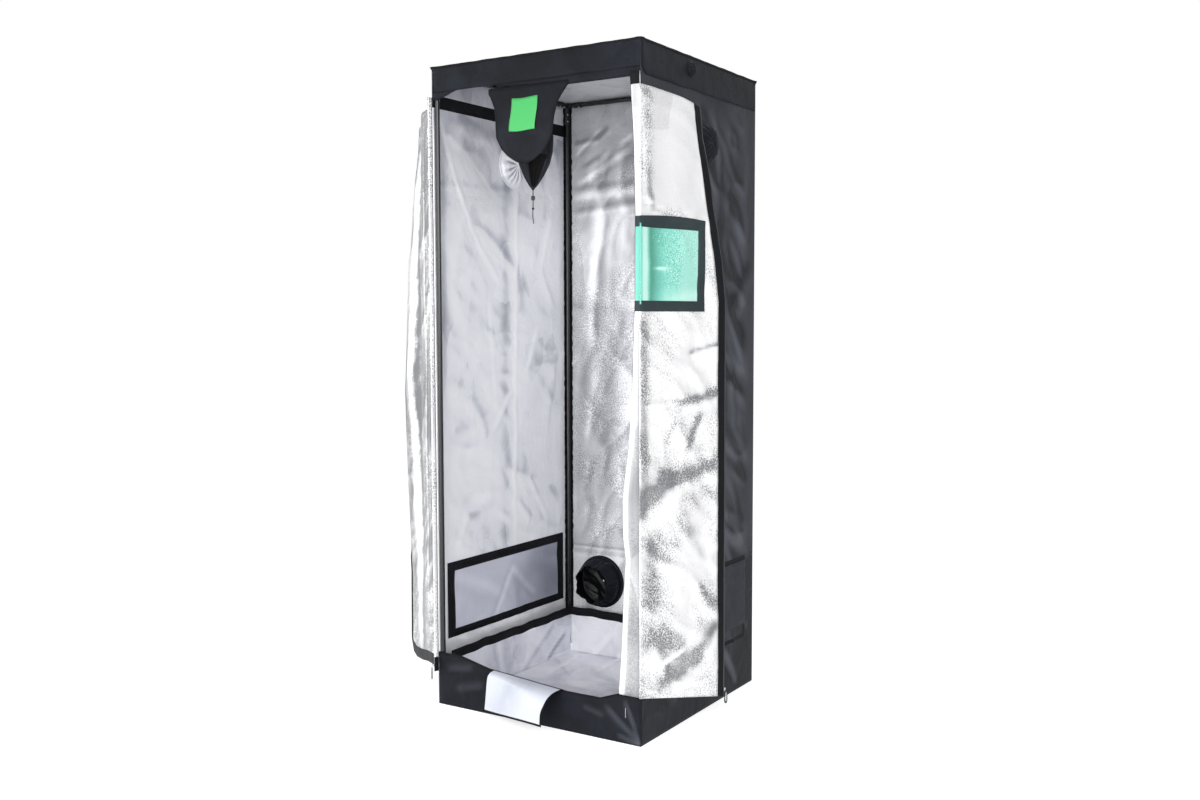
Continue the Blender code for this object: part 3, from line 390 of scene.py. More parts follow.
# The same lining as the side walls, its back wall copy painted darker as shade
backFoil = silverFoil("silverBackFoil", {
    "plain": "#B4B5B9", "light": "#EFEFF1", "dark": "#7E8084", "cloudScale": 3.5, "cloud": 0.45,
    "maskScale": 4.0, "maskFrom": 0.46, "grainScale": 250.0, "grain": 0.60, "grainBump": 0.20,
    "facetScale": 9.0, "facet": 0.12, "foldScale": 7.0, "foldBump": 0.60, "rough": 0.46, "metal": 0.25,
})
doorFoil = silverFoil("silverDoorFoil", {
    "plain": "#E4E4E6", "light": "#FFFFFF", "dark": "#77787C", "cloudScale": 4.5, "cloud": 0.30,
    "maskScale": 5.0, "maskFrom": 0.40, "grainScale": 250.0, "grain": 0.70, "grainBump": 0.20,
    "facetScale": 8.0, "facet": 0.1, "foldScale": 6.0, "foldBump": 0.50, "rough": 0.34, "metal": 0.30,
})
trayFoil = silverFoil("silverTrayFoil", {
    "plain": "#DCDDE5", "light": "#FBFBFE", "dark": "#9A9CA8", "cloudScale": 5.0, "cloud": 0.45,
    "maskScale": 5.0, "maskFrom": 0.58, "grainScale": 300.0, "grain": 0.4, "grainBump": 0.12,
    "facetScale": 9.0, "facet": 0.18, "foldScale": 6.0, "foldBump": 0.45, "rough": 0.32, "metal": 0.35,
})
flapFoil = silverFoil("paleFlapFoil", {
    "plain": "#C4C8D3", "light": "#D2D6E0", "dark": "#A6ABB8", "cloudScale": 5.0, "cloud": 0.3,
    "maskScale": 5.0, "maskFrom": 0.75, "grainScale": 300.0, "grain": 0.2, "grainBump": 0.06,
    "facetScale": 9.0, "facet": 0.03, "foldScale": 6.0, "foldBump": 0.15, "rough": 0.42, "metal": 0.10,
})
coverFoil = silverFoil("silverCoverFoil", {
    "plain": "#C9CBD9", "light": "#EDEEF6", "dark": "#9A9CAC", "cloudScale": 3.0, "cloud": 0.25,
    "maskScale": 5.0, "maskFrom": 0.7, "grainScale": 300.0, "grain": 0.2, "grainBump": 0.10,
    "facetScale": 6.0, "facet": 0.1, "foldScale": 5.0, "foldBump": 0.30, "rough": 0.40, "metal": 0.30,
})
roofFoil = silverFoil("silverRoofFoil", {
    "plain": "#DEDEE2", "light": "#F4F4F6", "dark": "#9A9BA0", "cloudScale": 4.0, "cloud": 0.5,
    "maskScale": 5.0, "maskFrom": 0.55, "grainScale": 260.0, "grain": 0.5, "grainBump": 0.20,
    "facetScale": 8.0, "facet": 0.15, "foldScale": 7.0, "foldBump": 0.50, "rough": 0.34, "metal": 0.35,
})
outerCloth = blackOxford("blackOxfordCloth", "#0C0E13", "#171A22", 0.55, 120.0, 0.55)
tapeCloth = blackOxford("blackZipTape", "#0C0D10", "#131519", 0.72, 160.0)
stripCloth = blackOxford("blackWindowStrip", "#303A3C", "#384245", 0.72, 160.0)
# Near-black, duller cloth that paints the shadow inside the sock where its slit shows it
sockShadowCloth = blackOxford("sockInsidePaintedShadow", "#060607", "#0A0A0C", 0.90, 120.0)
slickCloth = blackOxford("blackSlickLining", "#08090A", "#111215", 0.30, 120.0)
zipCoil = plainGloss("blackZipCoil", "#0C0D0F", 0.35, 0.0, 700.0, 0.6, "#1A1B1E")
poleEnamel = plainGloss("blackPoleEnamel", "#0E0F11", 0.26, 0.0, 500.0, 0.05, "#141518")
connectorSteel = plainGloss("blackSteelConnector", "#101114", 0.36, 0.3, 400.0, 0.08, "#17181B")
zipNickel = plainGloss("nickelZipMetal", "#C9C9CC", 0.28, 1.0, 500.0, 0.06, "#B4B4B8")
togglePlastic = plainGloss("blackTogglePlastic", "#101114", 0.35, 0.0, 600.0, 0.1, "#17181B")
cordBraid = plainGloss("blackBraidedCord", "#121316", 0.75, 0.0, 900.0, 0.5, "#1C1D20")
meshNet = blackOxford("blackVentNet", "#3A3B42", "#484950", 0.80, 90.0)
patchGreen = plainGloss("greenPatchVinyl", "#3BA455", 0.45, 0.0, 300.0, 0.08, "#42AC5C")
filmBack = plainGloss("greenFilmBack", "#2F8A72", 0.30, 0.0, 240.0, 0.10, "#3B9A82")
tagWhite = plainGloss("whiteTagRibbon", "#F0F0F0", 0.6, 0.0, 300.0, 0.1, "#E4E4E6")
print("materials made")


def clothSheet(name, columns, rows, spot, materials, facing, thickness=0.0012, offset=0.0, kept=None,
               closed=False, paintedShading=None, calm=None, paintedSheen=None, paint=None):
    # A woven sheet: grid point (u, v) of the flat cloth goes to spot(u, v); kept leaves cells out; the next
    # three give per-point attributes: the painted light and shade of its foil, where the foil's painted
    # glitter is held back, and the painted sheen of its black side; paint gives the cells of a sewn-on band
    # their pair of materials.
    # The first material of a pair is on the side that looks along facing
    shape = bmesh.new()
    uvs = shape.loops.layers.uv.new("cloth")
    says = [(shape.verts.layers.float.new(key), way) for key, way in
            (("paintedShading", paintedShading), ("calm", calm), ("paintedSheen", paintedSheen)) if way is not None]
    across, up = len(columns) - 1, len(rows) - 1
    bmesh.ops.create_grid(shape, x_segments=across, y_segments=up, size=0.5, calc_uvs=True)
    index = {v: (round((v.co.x + 0.5) * across), round((v.co.y + 0.5) * up)) for v in shape.verts}
    gone = []
    for face in shape.faces:
        for loop in face.loops:
            i, j = index[loop.vert]
            loop[uvs].uv = (columns[i], rows[j])
        i = min(index[v][0] for v in face.verts)
        j = min(index[v][1] for v in face.verts)
        middle = (columns[i] + columns[i + 1]) / 2, (rows[j] + rows[j + 1]) / 2
        if kept is not None and not kept(*middle):
            gone.append(face)
        if paint is not None:
            face.material_index = 2 * paint(*middle)
    bmesh.ops.delete(shape, geom=gone, context="FACES")
    for vert in shape.verts:
        i, j = index[vert]
        vert.co = spot(columns[i], rows[j])
        for layer, way in says:
            vert[layer] = way(columns[i], rows[j])
    if closed:
        bmesh.ops.remove_doubles(shape, verts=shape.verts, dist=0.00002)
    shape.normal_update()
    if facing == "out":
        middle = sum((v.co for v in shape.verts), Vector()) / len(shape.verts)
        looks = sum(f.normal.dot(f.calc_center_median() - middle) for f in shape.faces)
    else:
        looks = sum(f.normal.dot(Vector(facing)) * f.calc_area() for f in shape.faces)
    if looks < 0:
        bmesh.ops.reverse_faces(shape, faces=shape.faces)
    obj = place(name, toMesh(name, shape), materials)
    wall = obj.modifiers.new("clothThickness", "SOLIDIFY")
    wall.thickness = thickness
    wall.offset = offset
    wall.use_even_offset = True
    if len(materials) > 1:
        wall.material_offset = 1
    return obj


def crumple(u, v, size, seed, turn=0.7):
    # Long slanting folds with sharper ones between them, like stiff lined cloth, from about -1 to 1
    stretch = 2.0
    a = u * math.cos(turn) + v * math.sin(turn)
    b = (v * math.cos(turn) - u * math.sin(turn)) / stretch
    p = Vector((b / size, a / size, seed * 7.31))
    ridge = max(0.0, 1 - abs(noise.noise(p)) * 2.6)
    fine = max(0.0, 1 - abs(noise.noise(p * 2.3 + Vector((4.7, 1.9, seed)))) * 2.6)
    soft = noise.noise(p * 0.6 + Vector((3.1, 8.7, seed)))
    return 0.75 * ridge ** 1.6 + 0.30 * fine ** 1.6 + 0.7 * soft - 0.42


def foldShine(u, v, size, seed, turn=0.7):
    # The light side and the dark side of the crumpled folds, from about -1 to 1
    step = size * 0.07
    near = crumple(u - step, v - 0.5 * step, size, seed, turn)
    return 3.2 * (crumple(u + step, v + 0.5 * step, size, seed, turn) - near)


def creased(table, u, v):
    # Named folds from (u0, v0) to (u1, v1): how far they stand up, and the painted light or shade they add to
    # the colour, with an opposite painted lobe beside each line
    lift, paintedShading = 0.0, 0.0
    for u0, v0, u1, v1, wide, high, shade in table:
        du, dv = u1 - u0, v1 - v0
        run = math.hypot(du, dv)
        along = ((u - u0) * du + (v - v0) * dv) / run ** 2
        away = ((u - u0) * dv - (v - v0) * du) / run / wide
        if abs(away) > 2.4 or not -0.15 < along < 1.15:
            continue
        fade = easy((0.65 - abs(along - 0.5)) / 0.25)
        lift += high * fade * max(0.0, 1 - abs(away)) ** 1.5
        paintedShading += shade * fade * (math.exp(-2.5 * away ** 2) - 0.4 * math.exp(-4 * (away - 1.2) ** 2))
    return lift, paintedShading


def cordCurve(name, route, radius):
    # A round braided cord along the points
    curve = bpy.data.curves.new(name, "CURVE")
    curve.dimensions = "3D"
    curve.bevel_depth = radius
    curve.bevel_resolution = 3
    curve.use_fill_caps = True
    spline = curve.splines.new("POLY")
    spline.points.add(len(route) - 1)
    for point, spot in zip(spline.points, route):
        point.co = (*spot, 1.0)
    curve.materials.append(cordBraid)
    cord = bpy.data.objects.new(name, curve)
    bpy.context.scene.collection.objects.link(cord)
    return cord


def cordPieces():
    cord = cordCurve("sockDrawcord", cordRoute, drawcord["radius"])
    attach(cord, "tent")
    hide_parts("sock_drawcord")
    shape = bmesh.new()
    bmesh.ops.create_icosphere(shape, subdivisions=3, radius=drawcord["knotRadius"])
    for vert in shape.verts:
        lobes = 1 + 0.16 * math.sin(5 * math.atan2(vert.co.y, vert.co.x) + 9 * vert.co.z / 0.003)
        vert.co = Vector((vert.co.x * lobes, vert.co.y * lobes, vert.co.z * 1.15))
    bmesh.ops.translate(shape, vec=drawcord["knot"], verts=shape.verts)
    knot = place("drawcordKnot", toMesh("drawcordKnot", shape), [cordBraid])
    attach(knot, "tent")
    radius, half, bore = drawcord["toggleRadius"], drawcord["toggleHalf"], drawcord["bore"]
    lip = 0.0008
    profile = [(bore, -half)]
    for i in range(9):
        lift = -1 + i / 4
        wide = bore + lip + (radius - bore - lip) * math.sqrt(max(0.0, 1 - lift * lift * 0.82))
        profile.append((wide, lift * half))
    profile.append((bore, half))
    toggle = place(
        "drawcordToggle", turnedMesh("drawcordToggle", profile, 24, drawcord["togglePlace"]),
        [togglePlastic],
    )
    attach(toggle, "toggle")
    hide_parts("drawcord_toggle")
    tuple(cordRoute[0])


cordPieces()
print("drawcord made")


# Walls: held flat by the posts, the rails and the seams, and slack between them. A fold is
# (u0, z0, u1, z1, half its width, how far it stands out, how much painted light or shade it adds to the
# colour)
wallLook = {
    "step": 0.0085,
    "slack": 0.0075,
    "holeRadius": 0.062,
    "coverHinge": 0.4437,
    "vent": (-0.290, 0.298, 0.224, 0.414),
    "rimFront": 0.012,
    "rimBack": 0.014,
    "rimTop": 0.028,
    "rimFoot": (0.166, 0.179),
    "roofBand": (1.879, 1.919),
    "cornerBand": 0.351,
    "backBand": 0.350,
    "wobble": 0.004,
    "foldSize": 0.17,
    "seeds": {"left": (1.3, 0.9), "right": (4.6, 0.7), "back": (8.2, -0.5)},
    "leftPort": (0.045, 1.745),
    "rightPort": (0.010, 1.755),
    "backPort": (-0.2275, 0.270),
    "backHole": 0.083,
    # Painted light and shade by height on each wall, added to its colour
    "leftLight": ((0.0, 0.30), (0.6, 0.30), (1.0, 0.20), (1.7, 0.12), (1.85, -0.40), (2.0, -0.40)),
    "rightLight": ((0.0, 0.0), (0.42, 0.0), (0.50, 0.30), (1.35, 0.30), (1.6, 0.16), (2.0, 0.12)),
    "backLight": (
        (0.0, 0.4), (0.39, 0.35), (0.41, 0.0), (1.2, -0.15), (1.6, 0.0), (1.8, -0.10), (2.0, -0.15),
    ),
    "leftFolds": (
        (-0.342, 1.858, -0.296, 1.742, 0.016, 0.003, 0.35),
        (-0.296, 1.742, -0.244, 1.629, 0.013, 0.004, 0.7),
        (-0.250, 1.640, -0.144, 1.458, 0.012, 0.004, 0.8),
        (-0.150, 1.468, -0.049, 1.357, 0.018, 0.004, 0.35),
        (-0.010, 0.440, -0.003, 1.670, 0.045, 0.0, -0.55),
        (0.040, 0.440, 0.062, 1.640, 0.012, 0.003, 0.5),
        (-0.074, 0.861, 0.025, 0.978, 0.016, 0.004, 0.45),
        (-0.090, 1.198, -0.052, 1.132, 0.022, 0.003, -0.35),
        (-0.095, 1.300, -0.060, 0.954, 0.014, 0.003, 0.35),
        (-0.082, 0.609, -0.217, 0.576, 0.030, 0.004, -0.45),
        (-0.217, 0.576, -0.268, 0.471, 0.026, 0.004, 0.35),
        (-0.056, 0.566, 0.010, 0.530, 0.016, 0.003, 0.35),
        (0.070, 0.600, 0.132, 0.526, 0.016, 0.005, -0.5),
        (0.140, 0.670, 0.174, 0.600, 0.014, 0.004, -0.5),
        (-0.240, 1.873, -0.064, 1.820, 0.030, 0.004, -0.35),
        (-0.295, 1.803, -0.231, 1.768, 0.022, 0.003, 0.3),
        (0.268, 1.589, 0.205, 1.405, 0.030, 0.004, 0.35),
        (0.205, 1.405, 0.277, 1.266, 0.026, 0.004, -0.3),
        (0.179, 1.196, 0.129, 1.059, 0.022, 0.004, 0.4),
        (0.300, 1.100, 0.240, 0.850, 0.030, 0.004, -0.25),
        (-0.281, 0.877, -0.182, 0.882, 0.030, 0.003, -0.3),
        (-0.330, 1.750, -0.335, 0.950, 0.035, 0.0, -0.6),
        (-0.341, 1.651, 0.044, 1.667, 0.016, 0.0, -0.22),
        (0.150, 0.640, 0.230, 0.520, 0.020, 0.004, 0.4),
    ),
    "rightFolds": (
        (0.159, 0.150, 0.250, 0.030, 0.024, 0.005, 0.6),
        (0.138, 0.604, 0.324, 0.445, 0.030, 0.005, 0.4),
        (0.120, 0.330, 0.340, 0.190, 0.030, 0.004, 0.3),
        (-0.330, 1.300, 0.300, 1.050, 0.055, 0.004, 0.3),
        (-0.100, 0.900, 0.330, 0.760, 0.050, 0.004, 0.3),
        (0.200, 1.250, 0.330, 1.400, 0.040, 0.004, -0.3),
    ),
    "backFolds": (
        (-0.334, 1.856, -0.237, 1.870, 0.014, 0.004, -0.7),
        (-0.237, 1.870, -0.196, 1.901, 0.014, 0.003, -0.6),
        (-0.330, 1.814, -0.229, 1.897, 0.012, 0.004, 0.6),
        (-0.221, 1.806, -0.098, 1.865, 0.016, 0.004, 0.6),
        (-0.314, 1.714, -0.114, 1.819, 0.020, 0.005, 0.55),
        (-0.300, 1.770, -0.150, 1.835, 0.014, 0.004, -0.5),
        (-0.331, 1.694, -0.060, 1.704, 0.018, 0.004, -0.5),
        (-0.331, 1.660, -0.060, 1.670, 0.018, 0.0, 0.45),
        (-0.331, 1.616, -0.060, 1.638, 0.018, 0.004, -0.55),
        (-0.290, 1.100, -0.320, 0.520, 0.040, 0.0, -0.35),
        (-0.200, 1.100, -0.220, 0.500, 0.050, 0.0, -0.30),
        (-0.110, 1.200, -0.120, 0.620, 0.060, 0.004, 0.35),
        (-0.370, 0.398, 0.370, 0.398, 0.010, 0.0, -0.6),
        (-0.370, 0.378, 0.370, 0.374, 0.016, 0.0, -0.45),
    ),
}


def wallMask(u, z):
    return easy((0.338 - abs(u)) / 0.07) * easy((z - 0.03) / 0.10) * easy((1.890 - z) / 0.08)


def wallWave(side, u, z):
    # How far a wall stands outside its flat place
    port = wallLook[f"{side}Port"]
    calm = easy((math.hypot(u - port[0], z - port[1]) - 0.07) / 0.08)
    if side != "back":
        # Flat along the vent cover's hinge, so that the lifted cover stays clear
        calm *= easy((abs(z - wallLook["coverHinge"]) - 0.018) / 0.045)
    folds = creased(wallLook[f"{side}Folds"], u, z)[0]
    slack = wallLook["slack"] * crumple(u, z, wallLook["foldSize"], *wallLook["seeds"][side])
    out = slack + (folds if side == "right" else -folds)
    return out * wallMask(u, z) * calm * (0.5 if side == "back" else 1)


def wallPaintedShading(side, u, z):
    # Painted light and shade of a wall: by height, along its named folds, on the light and dark sides of its
    # crumpled folds, and a slow random drift
    slow = noise.noise(Vector((u * 5, z * 3, 12.0 + len(side))))
    folds = foldShine(u, z, wallLook["foldSize"], *wallLook["seeds"][side]) * wallMask(u, z)
    base = between(wallLook[f"{side}Light"], z)
    return base + creased(wallLook[f"{side}Folds"], u, z)[1] + 0.28 * slow + 0.34 * folds


def bandWobble(z, seed):
    # The edge of a sewn band isn't quite straight
    return wallLook["wobble"] * noise.noise(Vector((z * 55, *seed)))


def sideSpot(side, y, z, proud=0.0):
    return Vector((sideSign[side] * (tent["wall"] + proud + wallWave(side, y, z)), y, z))


def snapped(u, z, port, radius):
    # Grid points beside a round hole move onto its edge
    away = math.hypot(u - port[0], z - port[1])
    if abs(away - radius) < wallLook["step"] * 0.72 and away > 0:
        return port[0] + (u - port[0]) * radius / away, port[1] + (z - port[1]) * radius / away
    return u, z


def sideWall(side):
    # Its black bands are sewn on: a wide one under the roof and the back corner's inside, a frame round the
    # vent outside
    port, radius = wallLook[f"{side}Port"], wallLook["holeRadius"]
    front, back, low, high = wallLook["vent"]
    rimFront, rimBack = front - wallLook["rimFront"], back + wallLook["rimBack"]
    rimFoot, rimInner = wallLook["rimFoot"]
    rimHead = high + wallLook["rimTop"]
    bandFoot, bandHead = wallLook["roofBand"]
    corner, edge = wallLook["cornerBand"], tent["wallOut"]
    columns = spaced([-edge, rimFront, front, port[0], back, rimBack, corner, edge], wallLook["step"])
    levels = [tent["foot"], rimFoot, rimInner, low, high, rimHead, port[1], bandFoot, bandHead, tent["head"]]
    rows = spaced(levels, wallLook["step"])

    def spot(y, z):
        y, z = snapped(y, z, port, radius)
        if abs(y - corner) < 0.002:
            y += bandWobble(z, (7.0, 2.0))
        return sideSpot(side, y, z)

    def kept(y, z):
        inVent = front < y < back and low < z < high
        return not inVent and math.hypot(y - port[0], z - port[1]) > radius

    def band(y, z):
        if bandFoot < z < bandHead or y > corner:
            return 1
        framed = rimFront < y < rimBack and rimFoot < z < rimHead
        inner = front < y < back and rimInner < z < high
        return 2 if framed and not inner else 0

    # Painted light and shade for the foil inside; the same values, scaled, paint the sheen of the black
    # outside
    def shine(y, z):
        return wallPaintedShading(side, y, z)

    materials = [outerCloth, wallFoil, outerCloth, tapeCloth, tapeCloth, wallFoil]
    return clothSheet(
        f"{side}Wall", columns, rows, spot, materials, (sideSign[side], 0, 0),
        kept=kept, paintedShading=shine, paintedSheen=lambda y, z: 0.9 * shine(y, z), paint=band,
    )


def walls():
    front, back, low, high = wallLook["vent"]
    for side in sideSign:
        wall = sideWall(side)
        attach(wall, "tent")
        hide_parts(f"{side}_wall")
    port, radius = wallLook["backPort"], wallLook["backHole"]
    edge, seam = tent["wallIn"] - tent["gap"], wallLook["backBand"]
    columns = spaced([-edge, -seam, port[0], seam, edge], wallLook["step"])
    rows = spaced([tent["foot"], port[1], tent["head"]], wallLook["step"])

    def spot(x, z):
        x, z = snapped(x, z, port, radius)
        if abs(abs(x) - seam) < 0.002:
            x += bandWobble(z, (3.0, 8.0))
        return Vector((x, tent["wall"] + wallWave("back", x, z), z))

    # Painted sheen on the back wall's black outside, along the light sides of its folds
    def paintedSheen(x, z):
        return 0.2 + 0.4 * foldShine(x, z, wallLook["foldSize"], *wallLook["seeds"]["back"])

    back = clothSheet(
        "backWall", columns, rows, spot, [outerCloth, backFoil, outerCloth, tapeCloth], (0, 1, 0),
        kept=lambda x, z: math.hypot(x - port[0], z - port[1]) > radius,
        paintedShading=lambda x, z: wallPaintedShading("back", x, z), paintedSheen=paintedSheen, paint=lambda x, z: 1 if abs(x) > seam else 0,
    )
    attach(back, "tent")
    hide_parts("back_wall")


walls()


# Roof, base, header band and the strip over the opening
coverLook = {
    "frontDrop": 0.078,
    "sideDrop": 0.096,
    "cornerRadius": 0.010,
    "wave": 0.0030,
    "ear": 0.007,
    "earWidth": 0.014,
    "step": 0.0125,
    "roofTop": 1.9995,
    "sag": 0.003,
    "pipeTop": 2.0005,
    "pipe": 0.006,
    "stripEdge": (
        (-0.372, 1.897), (-0.33, 1.905), (-0.28, 1.922), (-0.15, 1.926), (-0.10, 1.915), (0.10, 1.900),
        (0.14, 1.897), (0.372, 1.897),
    ),
}


def roofAndBase():
    half = tent["half"]
    places = spaced([-half, half], coverLook["step"])

    def top(x, y):
        inside = easy((half - abs(x)) / 0.10) * easy((half - abs(y)) / 0.10)
        rise = coverLook["sag"] * max(0.0, 0.3 + crumple(x, y, 0.2, 7.7)) * inside
        return Vector((x, y, coverLook["roofTop"] + rise))

    roof = clothSheet("roofPanel", places, places, top, [outerCloth, roofFoil], (0, 0, 1))
    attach(roof, "tent")
    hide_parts("roof_panel")
    edge = tent["wallOut"]
    places = spaced([-edge, edge], coverLook["step"])
    base = clothSheet(
        "basePanel", places, places, lambda x, y: Vector((x, y, tent["cloth"] / 2)), [outerCloth, outerCloth],
        (0, 0, -1),
    )
    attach(base, "tent")
    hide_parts("base_panel")


def ringSpot(run, half, radius):
    # A point and its outward direction on a rounded square, by the distance run along it from the front left
    side = 2 * half - 2 * radius
    arc = math.pi * radius / 2
    corners = ((-1, -1), (1, -1), (1, 1), (-1, 1))
    ways = (Vector((1, 0, 0)), Vector((0, 1, 0)), Vector((-1, 0, 0)), Vector((0, -1, 0)))
    run = run % (4 * (side + arc))
    leg = int(run // (side + arc))
    run -= leg * (side + arc)
    way = ways[leg]
    outward = Vector((way.y, -way.x, 0))
    start = Vector((corners[leg][0] * half, corners[leg][1] * half, 0)) + way * radius
    if run <= side:
        return start + way * run, outward
    turn = (run - side) / radius
    centre = start + way * side - outward * radius
    direction = outward * math.cos(turn) + way * math.sin(turn)
    return centre + direction * radius, direction


def headerRing(run):
    # Where the header stands along its ring, its outward direction, and its share of a corner's seam ear
    half = tent["half"] - tent["cloth"] / 2
    at, outward = ringSpot(run, half, coverLook["cornerRadius"])
    away = math.hypot(abs(at.x) - half, abs(at.y) - half)
    return at, outward, math.exp(-(away / coverLook["earWidth"]) ** 2)


def headerBand():
    half, radius = tent["half"] - tent["cloth"] / 2, coverLook["cornerRadius"]
    whole = 4 * (2 * half - 2 * radius) + 2 * math.pi * radius
    runs = [whole * i / 400 for i in range(401)]
    shares = [0.0, 0.04, 0.09] + [0.1 + i / 10 for i in range(10)]

    def spot(run, share):
        at, outward, ear = headerRing(run)
        turned = easy((at.y + half) / 0.03)
        drop = coverLook["frontDrop"] + (coverLook["sideDrop"] - coverLook["frontDrop"]) * turned
        loose = noise.noise(Vector((at.x * 8, at.y * 8, share * 0.8)))
        loose += 0.5 * crumple(run, share * 0.09, 0.10, 5.5)
        out = coverLook["wave"] * max(0.0, 0.4 + loose) * easy(share / 0.3)
        out += coverLook["ear"] * ear * max(0.0, 1 - share / 0.14)
        hem = 0.002 * noise.noise(Vector((run * 14, 0.0, 8.0))) * share
        return at + outward * out + Vector((0, 0, tent["head"] - (drop - 0.0015) * share + hem))

    header = clothSheet("headerBand", runs, shares, spot, [outerCloth, outerCloth], "out", closed=True)
    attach(header, "tent")
    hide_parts("header_band")

    def piping(run, across):
        at, outward, ear = headerRing(run)
        top = coverLook["pipeTop"] + 0.0012 * noise.noise(Vector((run * 22, 1.0, 3.0)))
        lean, wide = coverLook["ear"] * ear, coverLook["pipe"]
        if across < 0.5:
            out = lean * across * 2 - wide * (1 - across * 2)
            return at + outward * out + Vector((0, 0, top))
        down = (across - 0.5) * 2
        out = lean * (1 - 0.5 * down) + 0.0012
        return at + outward * out + Vector((0, 0, top - wide * down))

    shares = [i / 4 for i in range(5)]
    seam = clothSheet(
        "roofSeamBinding", runs, shares, piping, [tapeCloth, tapeCloth], "out", closed=True,
    )
    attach(seam, "tent")


def openingStrip():
    edge = tent["wallIn"] - tent["gap"]
    columns = spaced([-edge, edge], coverLook["step"])
    shares = [i / 8 for i in range(9)]

    def spot(x, share):
        low = between(coverLook["stripEdge"], x)
        return Vector((x, -tent["wall"], low + (tent["head"] - low) * share))

    strip = clothSheet("openingStrip", columns, shares, spot, [outerCloth, outerCloth], (0, -1, 0))
    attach(strip, "tent")
    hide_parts("opening_strip")


roofAndBase()
headerBand()
openingStrip()
print("cover made")


# Doors
door = {
    "hingeX": 0.379,
    "hingeY": -0.390,
    "width": 0.370,
    "top": 1.872,
    "topFall": 0.034,
    "bottom": 0.152,
    "slant": 0.09,
    "panel": 0.340,
    "leftTurn": 142.0,
    "rightTurn": 76.0,
    "tape": 0.030,
    "foldDepth": 0.009,
    "leftBow": 0.018,
    "cutDepth": 0.592,
    "rightCut": (
        (0.0, 0.705), (0.05, 0.715), (0.21, 0.74), (0.31, 0.785), (0.46, 0.845), (0.60, 0.89), (0.80, 0.96),
        (1.0, 1.0),
    ),
    "leftCut": (
        (0.0, 0.655), (0.05, 0.665), (0.21, 0.70), (0.31, 0.765), (0.46, 0.835), (0.60, 0.89), (0.80, 0.96),
        (1.0, 1.0),
    ),
    "bow": ((0.0, 0.0), (0.12, -0.1), (0.30, 0.55), (0.48, 1.0), (0.66, 0.1), (0.80, -0.8), (1.0, -1.7)),
    "straight": 0.170,
    "hemHigh": 0.036,
    "hemFoot": ((0.0, 0.129), (0.25, 0.115), (0.5, 0.095), (0.75, 0.081), (0.9, 0.085), (1.0, 0.122)),
    "skirtRoot": 0.146,
    "skirtFoot": 0.072,
    "seam": 0.0003,
    "step": 0.010,
    "crumple": 0.0045,
    "foldSize": 0.12,
    "leftSeed": 2.7,
    "rightSeed": 6.4,
    "window": (0.010, 0.252, 1.276, 1.481),
    "windowOuter": (0.0065, 0.283, 1.246, 1.511),
    # Painted light and shade by height on the right door's foil, never darker than darkest
    "lit": (
        (0.0, -0.15), (0.30, 0.05), (0.42, 0.25), (0.66, 0.25), (0.84, 0.42), (1.22, 0.48), (1.50, 0.0),
        (2.0, -0.15),
    ),
    "darkest": -0.66,
    # Named folds of each door, as for the walls: the right door's mostly paint grey patches of shade, the left
    # door's mostly paint bright highlight bands
    "rightFolds": (
        (-0.020, 0.690, 0.130, 0.762, 0.066, 0.002, -1.55),
        (0.120, 0.760, 0.340, 0.792, 0.036, 0.002, -1.10),
        (0.011, 0.992, 0.176, 0.985, 0.010, 0.002, -0.45),
        (0.176, 0.982, 0.345, 1.006, 0.024, 0.003, -1.25),
        (0.218, 1.128, 0.345, 1.150, 0.014, 0.002, -1.05),
        (0.120, 0.865, 0.145, 0.925, 0.020, 0.0, -0.85),
        (0.200, 0.840, 0.265, 0.945, 0.024, 0.0, -1.00),
        (0.020, 1.235, 0.022, 0.790, 0.040, 0.0, -1.20),
        (0.050, 0.620, 0.060, 0.400, 0.080, 0.0, -0.75),
        (0.120, 0.560, 0.300, 0.620, 0.040, 0.0, -0.25),
        (0.030, 0.320, 0.190, 0.270, 0.060, 0.002, -0.90),
        (0.260, 0.430, 0.330, 0.360, 0.034, 0.0, -0.60),
        (0.090, 0.180, 0.260, 0.225, 0.044, 0.002, -1.05),
        (0.240, 0.215, 0.335, 0.310, 0.034, 0.002, -0.75),
        (0.060, 0.215, 0.190, 0.252, 0.010, 0.002, 1.00),
        (0.010, 1.800, 0.030, 1.600, 0.016, 0.002, 0.55),
        (0.030, 1.640, 0.060, 1.535, 0.018, 0.003, -0.65),
        (0.020, 1.560, 0.110, 1.535, 0.012, 0.003, 0.55),
        (0.020, 1.860, 0.050, 1.620, 0.032, 0.0, -0.22),
    ),
    "leftFolds": (
        (0.110, 1.880, 0.230, 1.640, 0.044, 0.002, 1.50),
        (0.230, 1.640, 0.245, 1.300, 0.046, 0.003, 1.55),
        (0.245, 1.300, 0.285, 1.050, 0.048, 0.003, 1.55),
        (0.285, 1.050, 0.230, 0.800, 0.048, 0.003, 1.50),
        (0.230, 0.800, 0.200, 0.170, 0.048, 0.003, 1.55),
        (0.050, 1.750, 0.055, 0.400, 0.010, 0.002, 0.90),
        (0.140, 1.000, 0.120, 0.500, 0.018, 0.002, -0.45),
        (0.100, 1.450, 0.160, 1.300, 0.012, 0.003, 0.60),
        (0.080, 0.700, 0.150, 0.560, 0.012, 0.003, 0.60),
    ),
}


def doorOwn(side, what):
    # One door's own setting. Its side is -1 for the left door and 1 for the right one
    return door[("left" if side < 0 else "right") + what]


def doorFrame(side):
    turn = math.radians(doorOwn(side, "Turn"))
    along = Vector((math.cos(turn), math.sin(turn), 0))
    lining = Vector((side * along.y, -side * along.x, 0))
    return Vector((side * door["hingeX"], door["hingeY"], 0)), along, lining


def doorReach(side, z):
    return door["width"] * between(doorOwn(side, "Cut"), (door["top"] - z) / door["cutDepth"])


